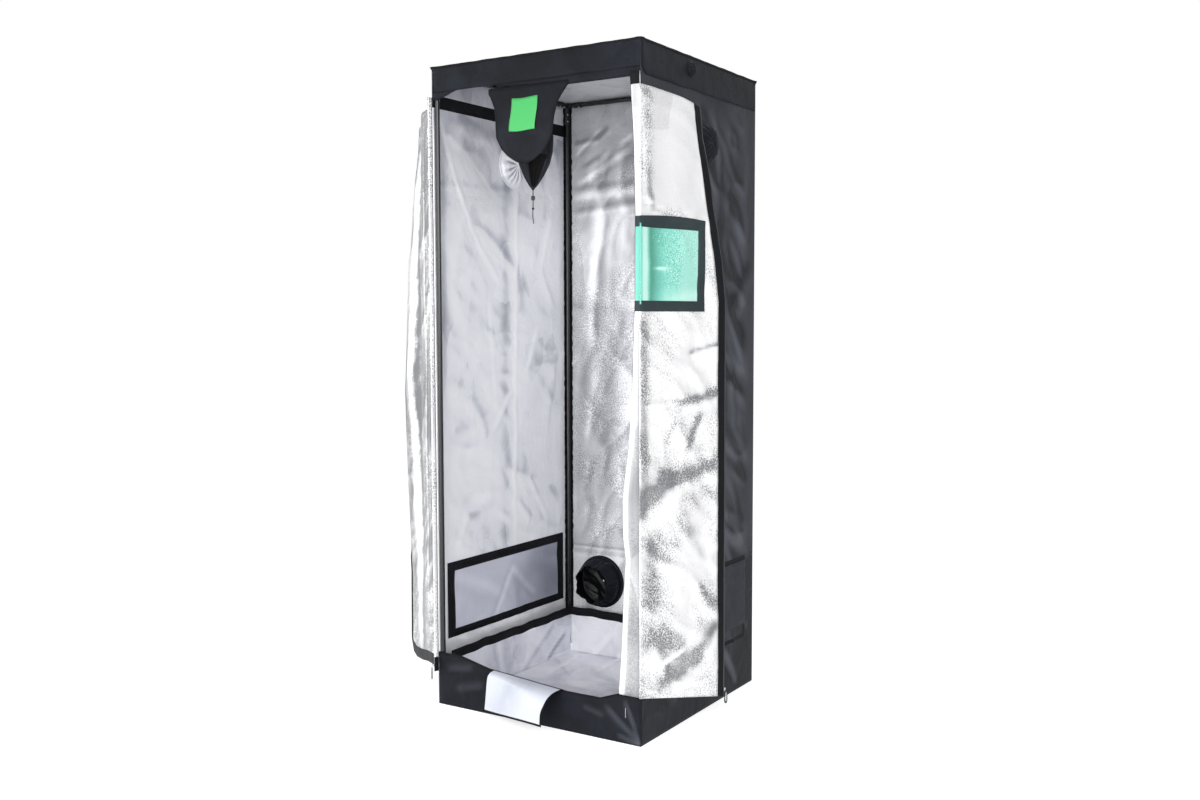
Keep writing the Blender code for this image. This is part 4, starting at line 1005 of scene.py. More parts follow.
def doorFoot(side, s):
    # Height of a door's lowest edge
    if side < 0:
        return between(door["hemFoot"], s / door["width"])
    return door["skirtRoot"] + (door["skirtFoot"] - door["skirtRoot"]) * s / door["width"]


def doorFold(side, s, z):
    t = s / door["width"]
    up = (z - door["bottom"]) / (door["top"] - door["bottom"])
    calm = min(1.0, max(0.0, up) / 0.25)
    waves = math.sin(math.pi * t) * math.sin(3 * math.pi * t) * door["foldDepth"] * calm
    if side < 0:
        base = waves + door["leftBow"] * between(door["bow"], up) * t * t
    else:
        base = -waves * 0.5 - door["foldDepth"] * math.sin(math.pi * t) * calm
    hold = easy((s - 0.006) / 0.05) * easy((z - 0.10) / 0.10) * (1 - 0.85 * easy((s - 0.325) / 0.03))
    fine = door["crumple"] * crumple(s, z, door["foldSize"], doorOwn(side, "Seed"), 0.9)
    folds = creased(doorOwn(side, "Folds"), s, z)[0]
    return base + (fine + folds) * hold


def doorShine(side, s, z):
    return foldShine(s, z, door["foldSize"], doorOwn(side, "Seed"), 0.9)


def doorPaintedSheen(side, s, z):
    # Painted sheen on a door's black outer side, along the light sides of its folds
    return 0.15 + 0.45 * doorShine(side, s, z)


def doorPaintedShading(side, s, z):
    # Painted light and shade of a door's foil: the left door painted a darker grey under its bright bands, the
    # right one lit by height with grey patches, both with a random drift and the light and dark sides of their
    # folds
    slow = noise.noise(Vector((s * 9, z * 5, 3.0 + side)))
    folds = doorShine(side, s, z)
    if side < 0:
        return -0.62 + creased(door["leftFolds"], s, z)[1] + 0.35 * slow + 0.35 * folds
    loose = 1 - doorCalm(side, s, z)
    shade = between(door["lit"], z) + creased(door["rightFolds"], s, z)[1]
    return max(door["darkest"], shade + loose * (0.38 * slow + 0.24 * folds))


def doorCalm(side, s, z):
    # The top of the right door is pulled smooth, so its painted shading and painted glitter are held back
    # there
    return 0.9 * easy((z - 1.50) / 0.06) * easy((s - 0.02) / 0.06) if side > 0 else 0.0


def doorSpot(side, s, z, proud=0.0):
    hinge, along, lining = doorFrame(side)
    flat = hinge + along * s + lining * (doorFold(side, s, z) + proud)
    return Vector((flat.x, flat.y, z))


def doorTop(side, s):
    return door["top"] - door["topFall"] * (s / doorReach(side, door["top"])) ** 2


def doorLevel(side, s, row):
    # The rows near the foot and the head follow the door's slanting edges
    top, slant = door["top"], door["slant"]
    if row > top - slant:
        return (top - slant) + (row - top + slant) * (doorTop(side, s) - top + slant) / slant
    low = doorFoot(side, s) + (door["hemHigh"] if side < 0 else 0.0)
    straight, foot = door["straight"], door["skirtFoot"]
    if row < straight:
        return low + (straight - low) * (row - foot) / (straight - foot)
    return row


def panelPlace(side, share, row):
    stop = door["window"][1]
    reach = doorReach(side, row) - door["tape"]
    squeeze = min(1.0, (reach - 0.015) / stop)
    if share <= stop / door["panel"]:
        s = door["seam"] + (share * door["panel"] - door["seam"] * (1 - share)) * squeeze
    else:
        last = stop * squeeze
        s = last + (reach - last) * (share - stop / door["panel"]) / (1 - stop / door["panel"])
    return max(door["seam"], s), doorLevel(side, s, row)


def doorPanels():
    s0, s1, z0, z1 = door["window"]
    stops = [0.0, s0 / door["panel"], s1 / door["panel"], 1.0]
    shares = spaced(stops, 0.030)
    w0, w1 = door["windowOuter"][2:]
    levels = [door["skirtFoot"], door["straight"], w0, z0, z1, w1, door["top"] - 0.07, door["top"]]
    rows = spaced(levels, door["step"])
    for name, side in sideSign.items():
        facing = doorFrame(side)[2]

        def onPanel(way, side=side):
            return lambda share, row: way(side, *panelPlace(side, share, row))

        obj = clothSheet(
            f"{name}Door", shares, rows, onPanel(doorSpot), [doorFoil, outerCloth, stripCloth, outerCloth],
            facing,
            kept=(lambda u, v: not (u < stops[2] and z0 < v < z1)) if side > 0 else None,
            paintedShading=onPanel(doorPaintedShading), calm=onPanel(doorCalm), paintedSheen=onPanel(doorPaintedSheen),
            paint=(lambda u, v: 1 if u < stops[1] and w0 < v < w1 else 0) if side > 0 else None,
        )
        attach(obj, f"{name}_door")
        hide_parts(f"{name}_door")

        def tape(share, row, side=side):
            # The left tape rolls back out of sight but for its foot
            s = doorReach(side, row) - door["tape"] + 0.0003 + (door["tape"] - 0.0003) * share
            rolled = 0.016 * share * share * easy((row - 0.40) / 0.10) if side < 0 else 0.0
            return doorSpot(side, s - 0.4 * rolled, doorLevel(side, s, row), -rolled)

        coil = 0.86
        strip = clothSheet(
            f"{name}DoorZipTape", [0.0, 0.25, 0.5, 0.75, coil, 1.0], rows, tape,
            [tapeCloth, tapeCloth, zipCoil, zipCoil], facing, paint=lambda u, v: 1 if u > coil else 0,
        )
        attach(strip, f"{name}_door")
        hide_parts(f"{name}_door_zip_tape")


def doorHems():
    shares = spaced([0.0, 1.0], 0.025)
    ups = [i / 8 for i in range(9)]

    def across(share):
        return door["seam"] + (door["width"] - door["seam"]) * share

    def left(share, up):
        s = across(share)
        return doorSpot(-1, s, doorFoot(-1, s) + (door["hemHigh"] - 0.0003) * up)

    def right(share, up):
        # The outer layer of the loose foot, behind the lining that runs on over it
        s, head = across(share), door["straight"] - 0.018
        return doorSpot(1, s, doorFoot(1, s) + (head - doorFoot(1, s)) * up, -0.0015)

    hem = clothSheet("leftDoorHem", shares, ups, left, [outerCloth, outerCloth], doorFrame(-1)[2])
    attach(hem, "left_door")
    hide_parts("left_door_hem")
    skirt = clothSheet("rightDoorSkirt", shares, ups, right, [outerCloth, outerCloth], doorFrame(1)[2])
    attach(skirt, "right_door")
    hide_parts("right_door_skirt")


def doorWindow():
    s0, s1, z0, z1 = door["window"]
    columns = spaced([door["seam"], s0, s1, s1 + 0.010], 0.007)
    rows = spaced([z0 - 0.010, z0, z1, z1 + 0.010], 0.007)
    # Painted light on the film: a painted highlight streak by the hinge, a painted dark streak beside it, a
    # glittering middle and a smooth pale side
    streaks = (
        (0.0, -0.4), (0.009, 0.0), (0.018, 0.9), (0.032, 0.9), (0.042, -0.2), (0.052, -0.9), (0.075, -0.5),
        (0.11, -0.05), (0.16, 0.1), (0.19, 0.30), (0.25, 0.40),
    )

    def shine(s, z):
        # A painted glint across the middle of the film, and its foot painted lighter
        glint = 1.6 * math.exp(-((s - 0.095) / 0.025) ** 2 - ((z - 1.367) / 0.004) ** 2)
        low = 0.5 * easy((z0 + 0.05 - z) / 0.05) * easy(s / 0.2)
        return between(streaks, s) + glint + low

    film = clothSheet(
        "doorWindowFilm", columns, rows, lambda s, z: doorSpot(1, s, z, 0.0012), [filmGreen, filmBack],
        doorFrame(1)[2], thickness=0.0006, paintedShading=shine,
    )
    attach(film, "right_door")
    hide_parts("door_window_film")
    o0, o1, w0, w1 = door["windowOuter"]
    strips = clothSheet(
        "doorWindowFrame", spaced([o0, s0, s1, o1], 0.010), spaced([w0, z0, z1, w1], 0.010),
        lambda s, z: doorSpot(1, s, z + (0.006 * math.sin(math.pi * s / o1) * easy((z - z1) / 0.03)), 0.0024),
        [stripCloth, stripCloth], doorFrame(1)[2], kept=lambda s, z: not (s < s1 and z0 < z < z1),
    )
    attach(strips, "right_door")
    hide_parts("door_window_frame")


doorPanels()
doorHems()
doorWindow()
print("doors made")


# Margins that carry the doors' seams: the right one is rolled into a rounded fold
margin = {
    "step": 0.012,
    "calm": 0.85,
    "foot": 0.106,
    "rightFoot": 0.147,
    # Painted highlight and shade across the right fold, by distance from its edge
    "shine": ((0.0, 0.2), (0.004, 0.7), (0.011, 0.5), (0.018, -0.35), (0.030, -0.50), (0.080, -0.50)),
    "darkEdge": 1.02,
    "darkHead": 1.872,
    "darkFoot": 0.152,
    "head": 1.909,
    "foldEdge": (
        (0.106, 0.305), (0.15, 0.305), (0.28, 0.315), (0.43, 0.322), (0.54, 0.329), (0.60, 0.321),
        (0.71, 0.319), (0.77, 0.326), (0.86, 0.339), (1.0, 0.349), (1.28, 0.359), (1.51, 0.360), (1.70, 0.356),
        (1.80, 0.350), (1.909, 0.343),
    ),
}


def margins():
    def right(share, z):
        edge = between(margin["foldEdge"], z)
        points = (
            (min(edge + 0.030, tent["wallOut"]), -0.3746), (edge + 0.010, -0.3746), (edge + 0.002, -0.3770),
            (edge, -0.3805), (edge + 0.003, -0.3836), (edge + 0.010, -0.3850), (0.3745, -0.3853),
            (0.3789, -0.3895),
        )
        at = share * (len(points) - 1)
        i = min(len(points) - 2, int(at))
        p = Vector(points[i]).lerp(Vector(points[i + 1]), at - i)
        return Vector((p.x, p.y, z))

    def shine(u, z):
        # Below, a painted highlight on the fold's edge; above, an even painted grey like the door that goes on
        # from it, with a little random drift
        low = between(margin["shine"], right(u, z).x - between(margin["foldEdge"], z))
        return low + (-0.30 - low) * easy((z - 1.20) / 0.10) + 0.2 * noise.noise(Vector((u * 3, z * 7, 1.0)))

    def sewn(u, z):
        # The window's strips and film reach over the fold, and a dark seam edges the fold's upper part
        if z > margin["darkHead"] or z > margin["darkEdge"] and 0.35 < u < 0.56:
            return 1
        if w0 < z < w1 and u > 0.5:
            return 2 if z0 < z < z1 else 3
        return 0

    z0, z1 = door["window"][2:]
    w0, w1 = door["windowOuter"][2:]
    rows = spaced([margin["rightFoot"], w0, z0, z1, w1, margin["darkHead"], margin["head"]], margin["step"])
    obj = clothSheet(
        "rightHingeMargin", [i / 28 for i in range(29)], rows, right,
        [doorFoil, doorFoil, tapeCloth, doorFoil, filmGreen, doorFoil, stripCloth, doorFoil], (-0.5, -1, 0),
        paintedShading=shine, calm=lambda u, z: margin["calm"], paint=sewn,
    )
    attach(obj, "tent")
    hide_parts("right_hinge_margin")

    def left(share, z):
        p = Vector((-0.3729, -0.3744)).lerp(Vector((-0.3786, -0.3883)), share)
        return Vector((p.x, p.y, z))

    columns = [i / 3 for i in range(4)]
    rows = spaced([margin["foot"], margin["darkFoot"], margin["head"]], margin["step"])
    obj = clothSheet(
        "leftHingeMargin", columns, rows, left, [outerCloth, doorFoil, outerCloth, tapeCloth],
        (-1, -0.4, 0), paint=lambda u, z: 1 if z < margin["darkFoot"] else 0,
    )
    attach(obj, "tent")
    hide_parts("left_hinge_margin")


margins()


# Tongue, patch and sock
tongue = {
    "centre": -0.010,
    "half": 0.101,
    "length": 0.217,
    "rootY": -0.3744,
    "rootLevel": -0.0645,
    "rim": 0.91,
    "rimFoot": 0.965,
    "planeY": -0.393,
    "bend": 0.6,
    "head": 1.911,
    "edge": (
        (0.0, 1.42), (0.10, 1.27), (0.22, 1.12), (0.40, 1.05), (0.63, 1.0), (0.78, 0.82), (0.88, 0.60),
        (0.95, 0.36), (1.0, 0.12),
    ),
    "patch": (-0.062, 0.031, 1.776, 1.874),
}


def tongueY(z):
    level = (tent["openingTop"] - z) / tongue["length"]
    forward = math.sin(min(1.0, max(0.0, level) / tongue["bend"]) * math.pi / 2)
    return tongue["rootY"] + (tongue["planeY"] - tongue["rootY"]) * forward


def doorTongue():
    sides = [2 * i / 48 - 1 for i in range(49)]
    levels = [tongue["rootLevel"]] + [i / 48 for i in range(49)]

    def spot(across, level):
        half = tongue["half"] * between(tongue["edge"], max(0.0, level))
        z = tent["openingTop"] - tongue["length"] * level if level >= 0 else tongue["head"]
        loose = 0.0016 * crumple(across * 0.1, level * 0.2, 0.09, 2.9) * easy((1 - abs(across)) / 0.2)
        return Vector((tongue["centre"] + half * across, tongueY(z) - max(0.0, loose) * easy(level / 0.2), z))

    def bound(across, level):
        # A folded band is sewn round the rim
        return 1 if abs(across) > tongue["rim"] or level > tongue["rimFoot"] else 0

    obj = clothSheet(
        "doorTongue", sides, levels, spot, [outerCloth, outerCloth, tapeCloth, tapeCloth], (0, -1, 0),
        paint=bound,
    )
    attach(obj, "tent")
    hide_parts("door_tongue")
    x0, x1, z0, z1 = tongue["patch"]

    def patchSpot(x, z):
        edge = 0.0022 * math.sin(52 * z) + 0.001 * math.sin(90 * x)
        return Vector((x + edge, tongueY(z) - 0.0024, z + 0.0016 * math.sin(60 * x)))

    patch = clothSheet(
        "greenPatch", spaced([x0, x1], 0.008), spaced([z0, z1], 0.008), patchSpot, [patchGreen], (0, -1, 0),
        thickness=0.0006,
    )
    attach(patch, "tent")


sock = {
    "cinch": (-0.013, -0.345, 1.606),
    "length": 0.159,
    "lean": 0.009,
    "halfX": 0.058,
    "halfY": 0.0459,
    "shares": ((0.0, 1.0), (0.30, 1.0), (0.52, 0.86), (0.74, 0.55), (0.90, 0.24), (1.0, 0.0)),
    "pleats": 9,
    "slitFrom": -84.0,
    "slitTo": -12.0,
    "slitLevels": (0.38, 0.93),
    "tip": 0.0014,
}


def frontSock():
    cinch = Vector(sock["cinch"])
    top = cinch + Vector((sock["lean"], 0, sock["length"]))
    tip = sock["tip"]
    slitFrom, slitTo = (math.radians(a) / (2 * math.pi) + 1 for a in (sock["slitFrom"], sock["slitTo"]))
    high, low = sock["slitLevels"]

    def spot(turn, level):
        centre = top.lerp(cinch, level)
        width = between(sock["shares"], level)
        angle = 2 * math.pi * turn
        pleat = 1 - 0.05 * (1 + math.sin(sock["pleats"] * angle)) * easy(level)
        inSlit = easy((turn - slitFrom + 0.01) / 0.03) * easy((slitTo + 0.01 - turn) / 0.03)
        pleat -= 0.55 * inSlit * easy((level - high) / 0.15) * easy((low + 0.05 - level) / 0.1)
        return Vector((
            centre.x + (tip + (sock["halfX"] * pleat - tip) * width) * math.cos(angle),
            centre.y + (tip + (sock["halfY"] * pleat - tip) * width) * math.sin(angle),
            centre.z,
        ))

    def fallsIn(turn, level):
        # The cloth falls in on the right and shows its inside, which takes a near-black, duller cloth as
        # painted shadow
        return 1 if slitFrom < turn < slitTo and high < level < low else 0

    obj = clothSheet(
        "frontSock", [i / 90 for i in range(91)], [i / 30 for i in range(31)], spot,
        [outerCloth, outerCloth, sockShadowCloth, sockShadowCloth], "out", closed=True, offset=-1.0, paint=fallsIn,
    )
    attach(obj, "tent")
    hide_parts("front_sock")


doorTongue()
frontSock()
print("tongue and sock made")


# Drawn-up ports
ports = {
    "rim": 0.072,
    "hole": 0.062,
    "reach": 0.034,
    "neck": 0.013,
    "dome": ((0.97, 0.10), (0.86, 0.42), (0.62, 0.78), (0.34, 0.95)),
    "pleats": 14,
    "innerRim": 0.078,
    "innerReach": 0.022,
    "collarRoute": ((0.0955, 0.0006), (0.083, 0.0006), (0.083, 0.0315), (0.066, 0.070)),
    "bagDepth": 0.016,
    "pressed": 0.22,
    "tie": 0.0013,
    "tieRoute": (
        (-0.193, 0.316, 0.335), (-0.176, 0.322, 0.352), (-0.160, 0.338, 0.348), (-0.152, 0.352, 0.330),
        (-0.158, 0.362, 0.318), (-0.166, 0.3705, 0.314),
    ),
}


def routeTables(route):
    # The distance run along a line of (radius, height) corners, and the radius and the height over it
    runs = [0.0]
    for (r0, h0), (r1, h1) in zip(route, route[1:]):
        runs.append(runs[-1] + math.hypot(r1 - r0, h1 - h0))
    radii, heights = ([(run, corner[i]) for run, corner in zip(runs, route)] for i in (0, 1))
    return runs, radii, heights


def ringPoint(centre, turn, radius, angle, height):
    # A point of a sleeve that is turned about its own axis
    return centre + turn @ Vector((radius * math.cos(angle), radius * math.sin(angle), height))


def gatheredPort(name, rim, hole, reach, neck, centre, way, materials, paintedShading=0.0):
    # A sleeve whose cord draws its mouth shut: pleats run in to a tight tucked knot of cloth
    route = [(rim, 0.0006), (hole + 0.001, 0.0008)]
    route += [(neck + (hole - neck) * wide, reach * high) for wide, high in ports["dome"]]
    route += [(neck, reach), (neck * 0.6, reach * 0.97), (neck * 0.1, reach * 0.90)]
    runs, radii, heights = routeTables(route)
    turn = Vector(way).to_track_quat("Z", "Y").to_matrix()
    count = 168

    def pleat(angle, run):
        gather = easy((run - runs[1]) / (runs[-4] - runs[1]))
        return gather * math.sin(ports["pleats"] * angle + 1.1 * math.sin(3 * angle)), gather

    def spot(angle, run):
        radius, height = between(radii, run), between(heights, run)
        fold, gather = pleat(angle, run)
        radius *= 1 + 0.05 * fold
        height += reach * 0.09 * fold * (1 - 0.5 * gather)
        return ringPoint(Vector(centre), turn, radius, angle, height)

    angles = [2 * math.pi * i / count for i in range(count + 1)]
    # The pleats are painted lighter and darker, by the given strength of painted light
    obj = clothSheet(
        name, angles, spaced(runs, rim / 20), spot, materials, way, closed=True,
        paintedShading=lambda angle, run: paintedShading * pleat(angle, run)[0],
    )
    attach(obj, "tent")
    return obj


def collarPort():
    # The back wall's sleeve stands in like a collar, and its loose end is tied off as a crumpled bag behind
    centre, way = Vector((*wallLook["backPort"], 0)).xzy, Vector((0, -1, 0))
    centre.y = tent["wallIn"] - 0.0003
    turn = way.to_track_quat("Z", "Y").to_matrix()
    runs, radii, heights = routeTables(ports["collarRoute"])

    def spot(angle, run):
        radius, height = between(radii, run), between(heights, run)
        loose = easy((run - 0.02) / 0.05)
        radius *= 1 + 0.05 * loose * math.sin(7 * angle + 0.8) + 0.03 * loose * math.sin(16 * angle)
        height += 0.004 * loose * math.sin(5 * angle + 2.0)
        return ringPoint(centre, turn, radius, angle, height)

    angles = [2 * math.pi * i / 96 for i in range(97)]
    obj = clothSheet(
        "backDuctPort", angles, spaced(runs, 0.004), spot, [outerCloth, slickCloth], "out", closed=True,
    )
    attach(obj, "tent")
    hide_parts("back_duct_port")
    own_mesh(obj)
    radius = wallLook["backHole"] + 0.004

    def bag(angle, share):
        away = radius * share
        bulge = ports["bagDepth"] * math.sqrt(max(0.0, 1 - share ** 2))
        x, z = away * math.cos(angle), away * math.sin(angle)
        rumple = 0.007 * crumple(x, z, 0.05, 5.1, 1.1) * easy((1 - share) / 0.25)
        y = tent["wallOut"] + tent["cloth"] + bulge * 0.7 + max(-0.002, rumple)
        return Vector((centre.x + x, y, centre.z + z))

    sleeve = clothSheet(
        "backPortSleeve", angles, [i / 28 for i in range(1, 29)], bag, [outerCloth, slickCloth], (0, 1, 0),
        closed=True, thickness=0.0008,
    )
    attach(sleeve, "tent")


def tieCord(name, points):
    # A short braided tie, sewn in at both ends
    route = [curveThrough(points, i / 40) for i in range(41)]
    cord = cordCurve(name, route, ports["tie"])
    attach(cord, "tent")
    length = sum((b - a).length for a, b in zip(route, route[1:]))
    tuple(route[0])


def allPorts():
    for side, sign in sideSign.items():
        y, z = wallLook[f"{side}Port"]
        obj = gatheredPort(
            f"{side}DuctPort", ports["rim"], ports["hole"], ports["reach"], ports["neck"],
            (sign * 0.3738, y, z), (sign, 0, 0), [outerCloth, wallFoil],
        )
        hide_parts(f"{side}_duct_port")
        # The inside lining's pleats get painted light and shade
        gatheredPort(
            f"{side}PortLining", ports["innerRim"], ports["innerRim"] - 0.006, ports["innerReach"], 0.010,
            (sign * 0.3716, y, z), (-sign, 0, 0), [wallFoil, wallFoil], paintedShading=0.9,
        )
    obj = gatheredPort(
        "cablePort", 0.0256, 0.022, 0.012, 0.006, (0.3753, -0.080, 1.963), (1, 0, 0),
        [outerCloth, outerCloth],
    )
    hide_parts("cable_port")
    collarPort()
    tieCord("backPortTie", ports["tieRoute"])


allPorts()
print("ports made")


# Vents
vent = {
    "seam": (0.018, 0.0125),
    "border": (0.036, 0.025),
    "binding": 0.002,
    "head": 0.0047,
    "step": 0.012,
    # Painted light and shade on the cover's foil: lighter at the front, darker toward the back, with painted
    # bright creases
    "shade": ((-0.32, 0.30), (0.0, 0.10), (0.10, -0.25), (0.32, -0.75)),
    "folds": (
        (0.023, 0.368, 0.153, 0.255, 0.016, 0.0, 0.5),
        (0.023, 0.360, -0.088, 0.211, 0.016, 0.0, 0.5),
        (-0.290, 0.400, -0.050, 0.300, 0.030, 0.0, 0.25),
    ),
}


def coverShine(y, z):
    # Painted light and shade of a vent cover's foil
    return creased(vent["folds"], y, z)[1] + between(vent["shade"], y)


def vents():
    front, back, low, high = wallLook["vent"]
    for side, sign in sideSign.items():
        def standing(proud, side=side):
            return lambda y, z: sideSpot(side, y, z, proud)

        out, up = vent["seam"]
        columns = spaced([front - out, front, back, back + out], vent["step"])
        rows = spaced([low - up, low, high, high + up], vent["step"])
        net = clothSheet(
            f"{side}VentMesh", columns, rows, standing(0.0012), [meshNet, meshNet], (sign, 0, 0),
            thickness=0.0006,
        )
        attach(net, "tent")
        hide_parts(f"{side}_vent_mesh")
        out, up = vent["border"]
        bound = high + up - vent["binding"]
        columns = spaced([front - out, front, back, back + out], vent["step"])
        rows = spaced([low - up, low, high, bound, high + up + vent["head"]], vent["step"])
        cover = clothSheet(
            f"{side}VentCover", columns, rows, standing(-0.0015),
            [outerCloth, coverFoil, outerCloth, tapeCloth], (sign, 0, 0), paintedShading=coverShine,
            paint=lambda y, z: 1 if z > bound else 0,
        )
        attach(cover, f"{side}_vent_cover")
        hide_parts(f"{side}_vent_cover")
        border = clothSheet(
            f"{side}VentBorder", columns, rows[:-1], standing(-0.0026), [tapeCloth, tapeCloth], (-sign, 0, 0),
            thickness=0.0009, kept=lambda y, z: not (front < y < back and low < z < high),
        )
        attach(border, f"{side}_vent_cover")


vents()
print("vents made")


# Floor tray, folded up from one cut, with a black hem round its sides and back
tray = {
    "half": 0.3482,
    "height": 0.170,
    "hem": 0.030,
    "frontHeight": 0.092,
    "floor": 0.0021,
    "step": 0.010,
    # Folds as for the walls; the flat ones paint shade along the floor's back and left corners and on the left
    # side
    "folds": (
        (-0.20, 0.10, -0.348, 0.240, 0.012, 0.0, -0.5),
        (-0.250, 0.075, -0.280, 0.276, 0.012, 0.004, 0.8),
        (-0.115, 0.158, -0.139, 0.364, 0.012, 0.004, 0.8),
        (-0.293, 0.297, -0.177, 0.427, 0.014, 0.003, 0.5),
        (-0.10, -0.30, 0.30, 0.10, 0.014, 0.004, 0.6),
        (0.05, 0.30, 0.30, -0.25, 0.014, 0.004, -0.5),
        (-0.420, 0.300, -0.350, 0.200, 0.014, 0.0, -0.9),
        (-0.470, 0.230, -0.350, 0.060, 0.018, 0.0, -0.5),
        (-0.480, -0.100, -0.350, -0.060, 0.020, 0.0, 0.5),
        (-0.330, 0.349, -0.100, 0.349, 0.010, 0.0, -0.5),
        (-0.349, -0.330, -0.349, 0.340, 0.012, 0.0, -0.6),
    ),
}


def floorTray():
    half, floor = tray["half"], tray["floor"]
    high, hem = tray["height"] - floor, tray["hem"]
    frontHigh = tray["frontHeight"] - floor
    rim, hemFoot = half + high, half + high - hem
    columns = spaced([-rim, -hemFoot, -half, half, hemFoot, rim], tray["step"])
    rows = spaced([-half - frontHigh, -half, half, hemFoot, rim], tray["step"])

    def spot(u, v):
        x, y = max(-half, min(half, u)), max(-half, min(half, v))
        up = max(abs(u) - half, abs(v) - half)
        if up <= 0:
            inside = easy((0.338 - abs(x)) / 0.05) * easy((0.338 - abs(y)) / 0.05)
            rise = 0.004 + 0.006 * crumple(x, y, 0.16, 3.3, 0.8) + creased(tray["folds"], u, v)[0]
            return Vector((x, y, floor + max(0.0, rise) * inside))
        share = easy((up - 0.02) / 0.12)
        lean = 0.007 * share + 0.006 * noise.noise(Vector((u * 7, v * 7, 4.4))) * share
        wave = 0.005 * noise.noise(Vector((x * 14, y * 14, 1.0))) * share
        if abs(u) > half:
            x -= math.copysign(lean, u)
        if abs(v) > half:
            y -= math.copysign(lean, v)
        return Vector((x, y, floor + up + wave))

    def hemmed(u, v):
        return 1 if abs(u) > hemFoot or v > hemFoot else 0

    def shine(u, v):
        # Painted light and shade: along the named folds, a slow random drift, the floor painted lighter and
        # the back side lighter still
        slow = noise.noise(Vector((u * 6, v * 6, 9.0)))
        flat = 0.28 if max(abs(u), abs(v)) <= half else 0.0
        return creased(tray["folds"], u, v)[1] + 0.45 * slow + (0.50 if v > half else flat)

    obj = clothSheet(
        "floorTray", columns, rows, spot, [trayFoil, outerCloth, tapeCloth, outerCloth], (0, 0, 1),
        kept=lambda u, v: abs(u) < half or abs(v) < half, closed=True, paintedShading=shine, paint=hemmed,
    )
    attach(obj, "tray")
    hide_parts("floor_tray")


floorTray()
print("tray made")


# Sill and its flap
sill = {
    "edge": (
        (-0.375, 0.168), (-0.280, 0.168), (-0.164, 0.1433), (0.115, 0.1219), (0.170, 0.1215), (0.237, 0.122),
        (0.304, 0.146), (0.375, 0.146),
    ),
    # Pale streaks on the sill's black cloth, painted as sheen along its folds
    "folds": (
        (0.372, 0.004, 0.262, 0.096, 0.016, 0.004, 0.25),
        (0.372, 0.003, 0.325, 0.120, 0.014, 0.004, 0.30),
        (0.368, 0.002, 0.300, 0.022, 0.012, 0.003, 0.25),
        (0.180, 0.085, 0.245, 0.070, 0.014, 0.003, 0.15),
        (-0.330, 0.120, -0.240, 0.135, 0.020, 0.003, 0.14),
        (-0.300, 0.060, -0.200, 0.085, 0.022, 0.003, 0.12),
    ),
    "binding": 0.008,
    "tag": (0.3245, 0.078, 0.106),
    "hingeY": -0.3738,
    "flapRoot": 0.055,
    "flapLeft": -0.155,
    "flapLeftZ": 0.1435,
    "flapRight": 0.106,
    "flapRightZ": 0.1235,
    "drift": -0.014,
    "length": 0.165,
    "leftShares": (
        (0.0, 0.0), (0.075, -0.012), (0.140, -0.030), (0.188, -0.085), (0.205, -0.20), (0.210, -0.34),
        (0.215, -0.48), (0.222, -0.62), (0.232, -0.74),
    ),
    "rightShares": (
        (0.0, 0.0), (0.13, 0.0), (0.26, -0.012), (0.37, -0.045), (0.45, -0.10), (0.525, -0.185),
        (0.590, -0.28), (0.60, -0.41), (0.585, -0.54),
    ),
}


def sillLevel(x, share):
    return tent["foot"] + (between(sill["edge"], x) - tent["foot"]) * share


def sillPanel():
    edge = tent["wallIn"] - tent["gap"]
    columns = spaced([-edge, edge], 0.0075)
    shares = [i / 20 for i in range(20)] + [1 - sill["binding"] / 0.14, 1.0]

    def spot(x, share):
        z = sillLevel(x, share)
        slack = easy(share / 0.15) * easy((1 - share) / 0.2) * easy((0.372 - abs(x)) / 0.03)
        clear = 1 - easy((x + 0.19) / 0.03) * easy((0.14 - x) / 0.03)
        wave = 0.0055 * crumple(x, z, 0.08, 9.1, 0.5) + creased(sill["folds"], x, z)[0]
        return Vector((x, -tent["wall"] - abs(wave) * slack * clear, z))

    def shine(x, share):
        # Painted sheen along the sill's folds
        return creased(sill["folds"], x, sillLevel(x, share))[1]

    obj = clothSheet(
        "sillPanel", columns, sorted(shares), spot, [outerCloth, outerCloth, tapeCloth, tapeCloth],
        (0, -1, 0),
        paintedSheen=shine, paint=lambda x, share: 1 if share > shares[-2] else 0,
    )
    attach(obj, "tent")
    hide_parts("sill_panel")
    at, low, high = sill["tag"]
    tag = clothSheet(
        "sewnTag", [0.0, 0.0022, 0.0044], spaced([low, high], 0.004),
        lambda u, z: Vector((at + 0.3 * u, -0.3745 - u - 0.0012 * math.sin(90 * (z - low)), z)), [tagWhite],
        (1, 0, 0), thickness=0.0005,
    )
    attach(tag, "tent")


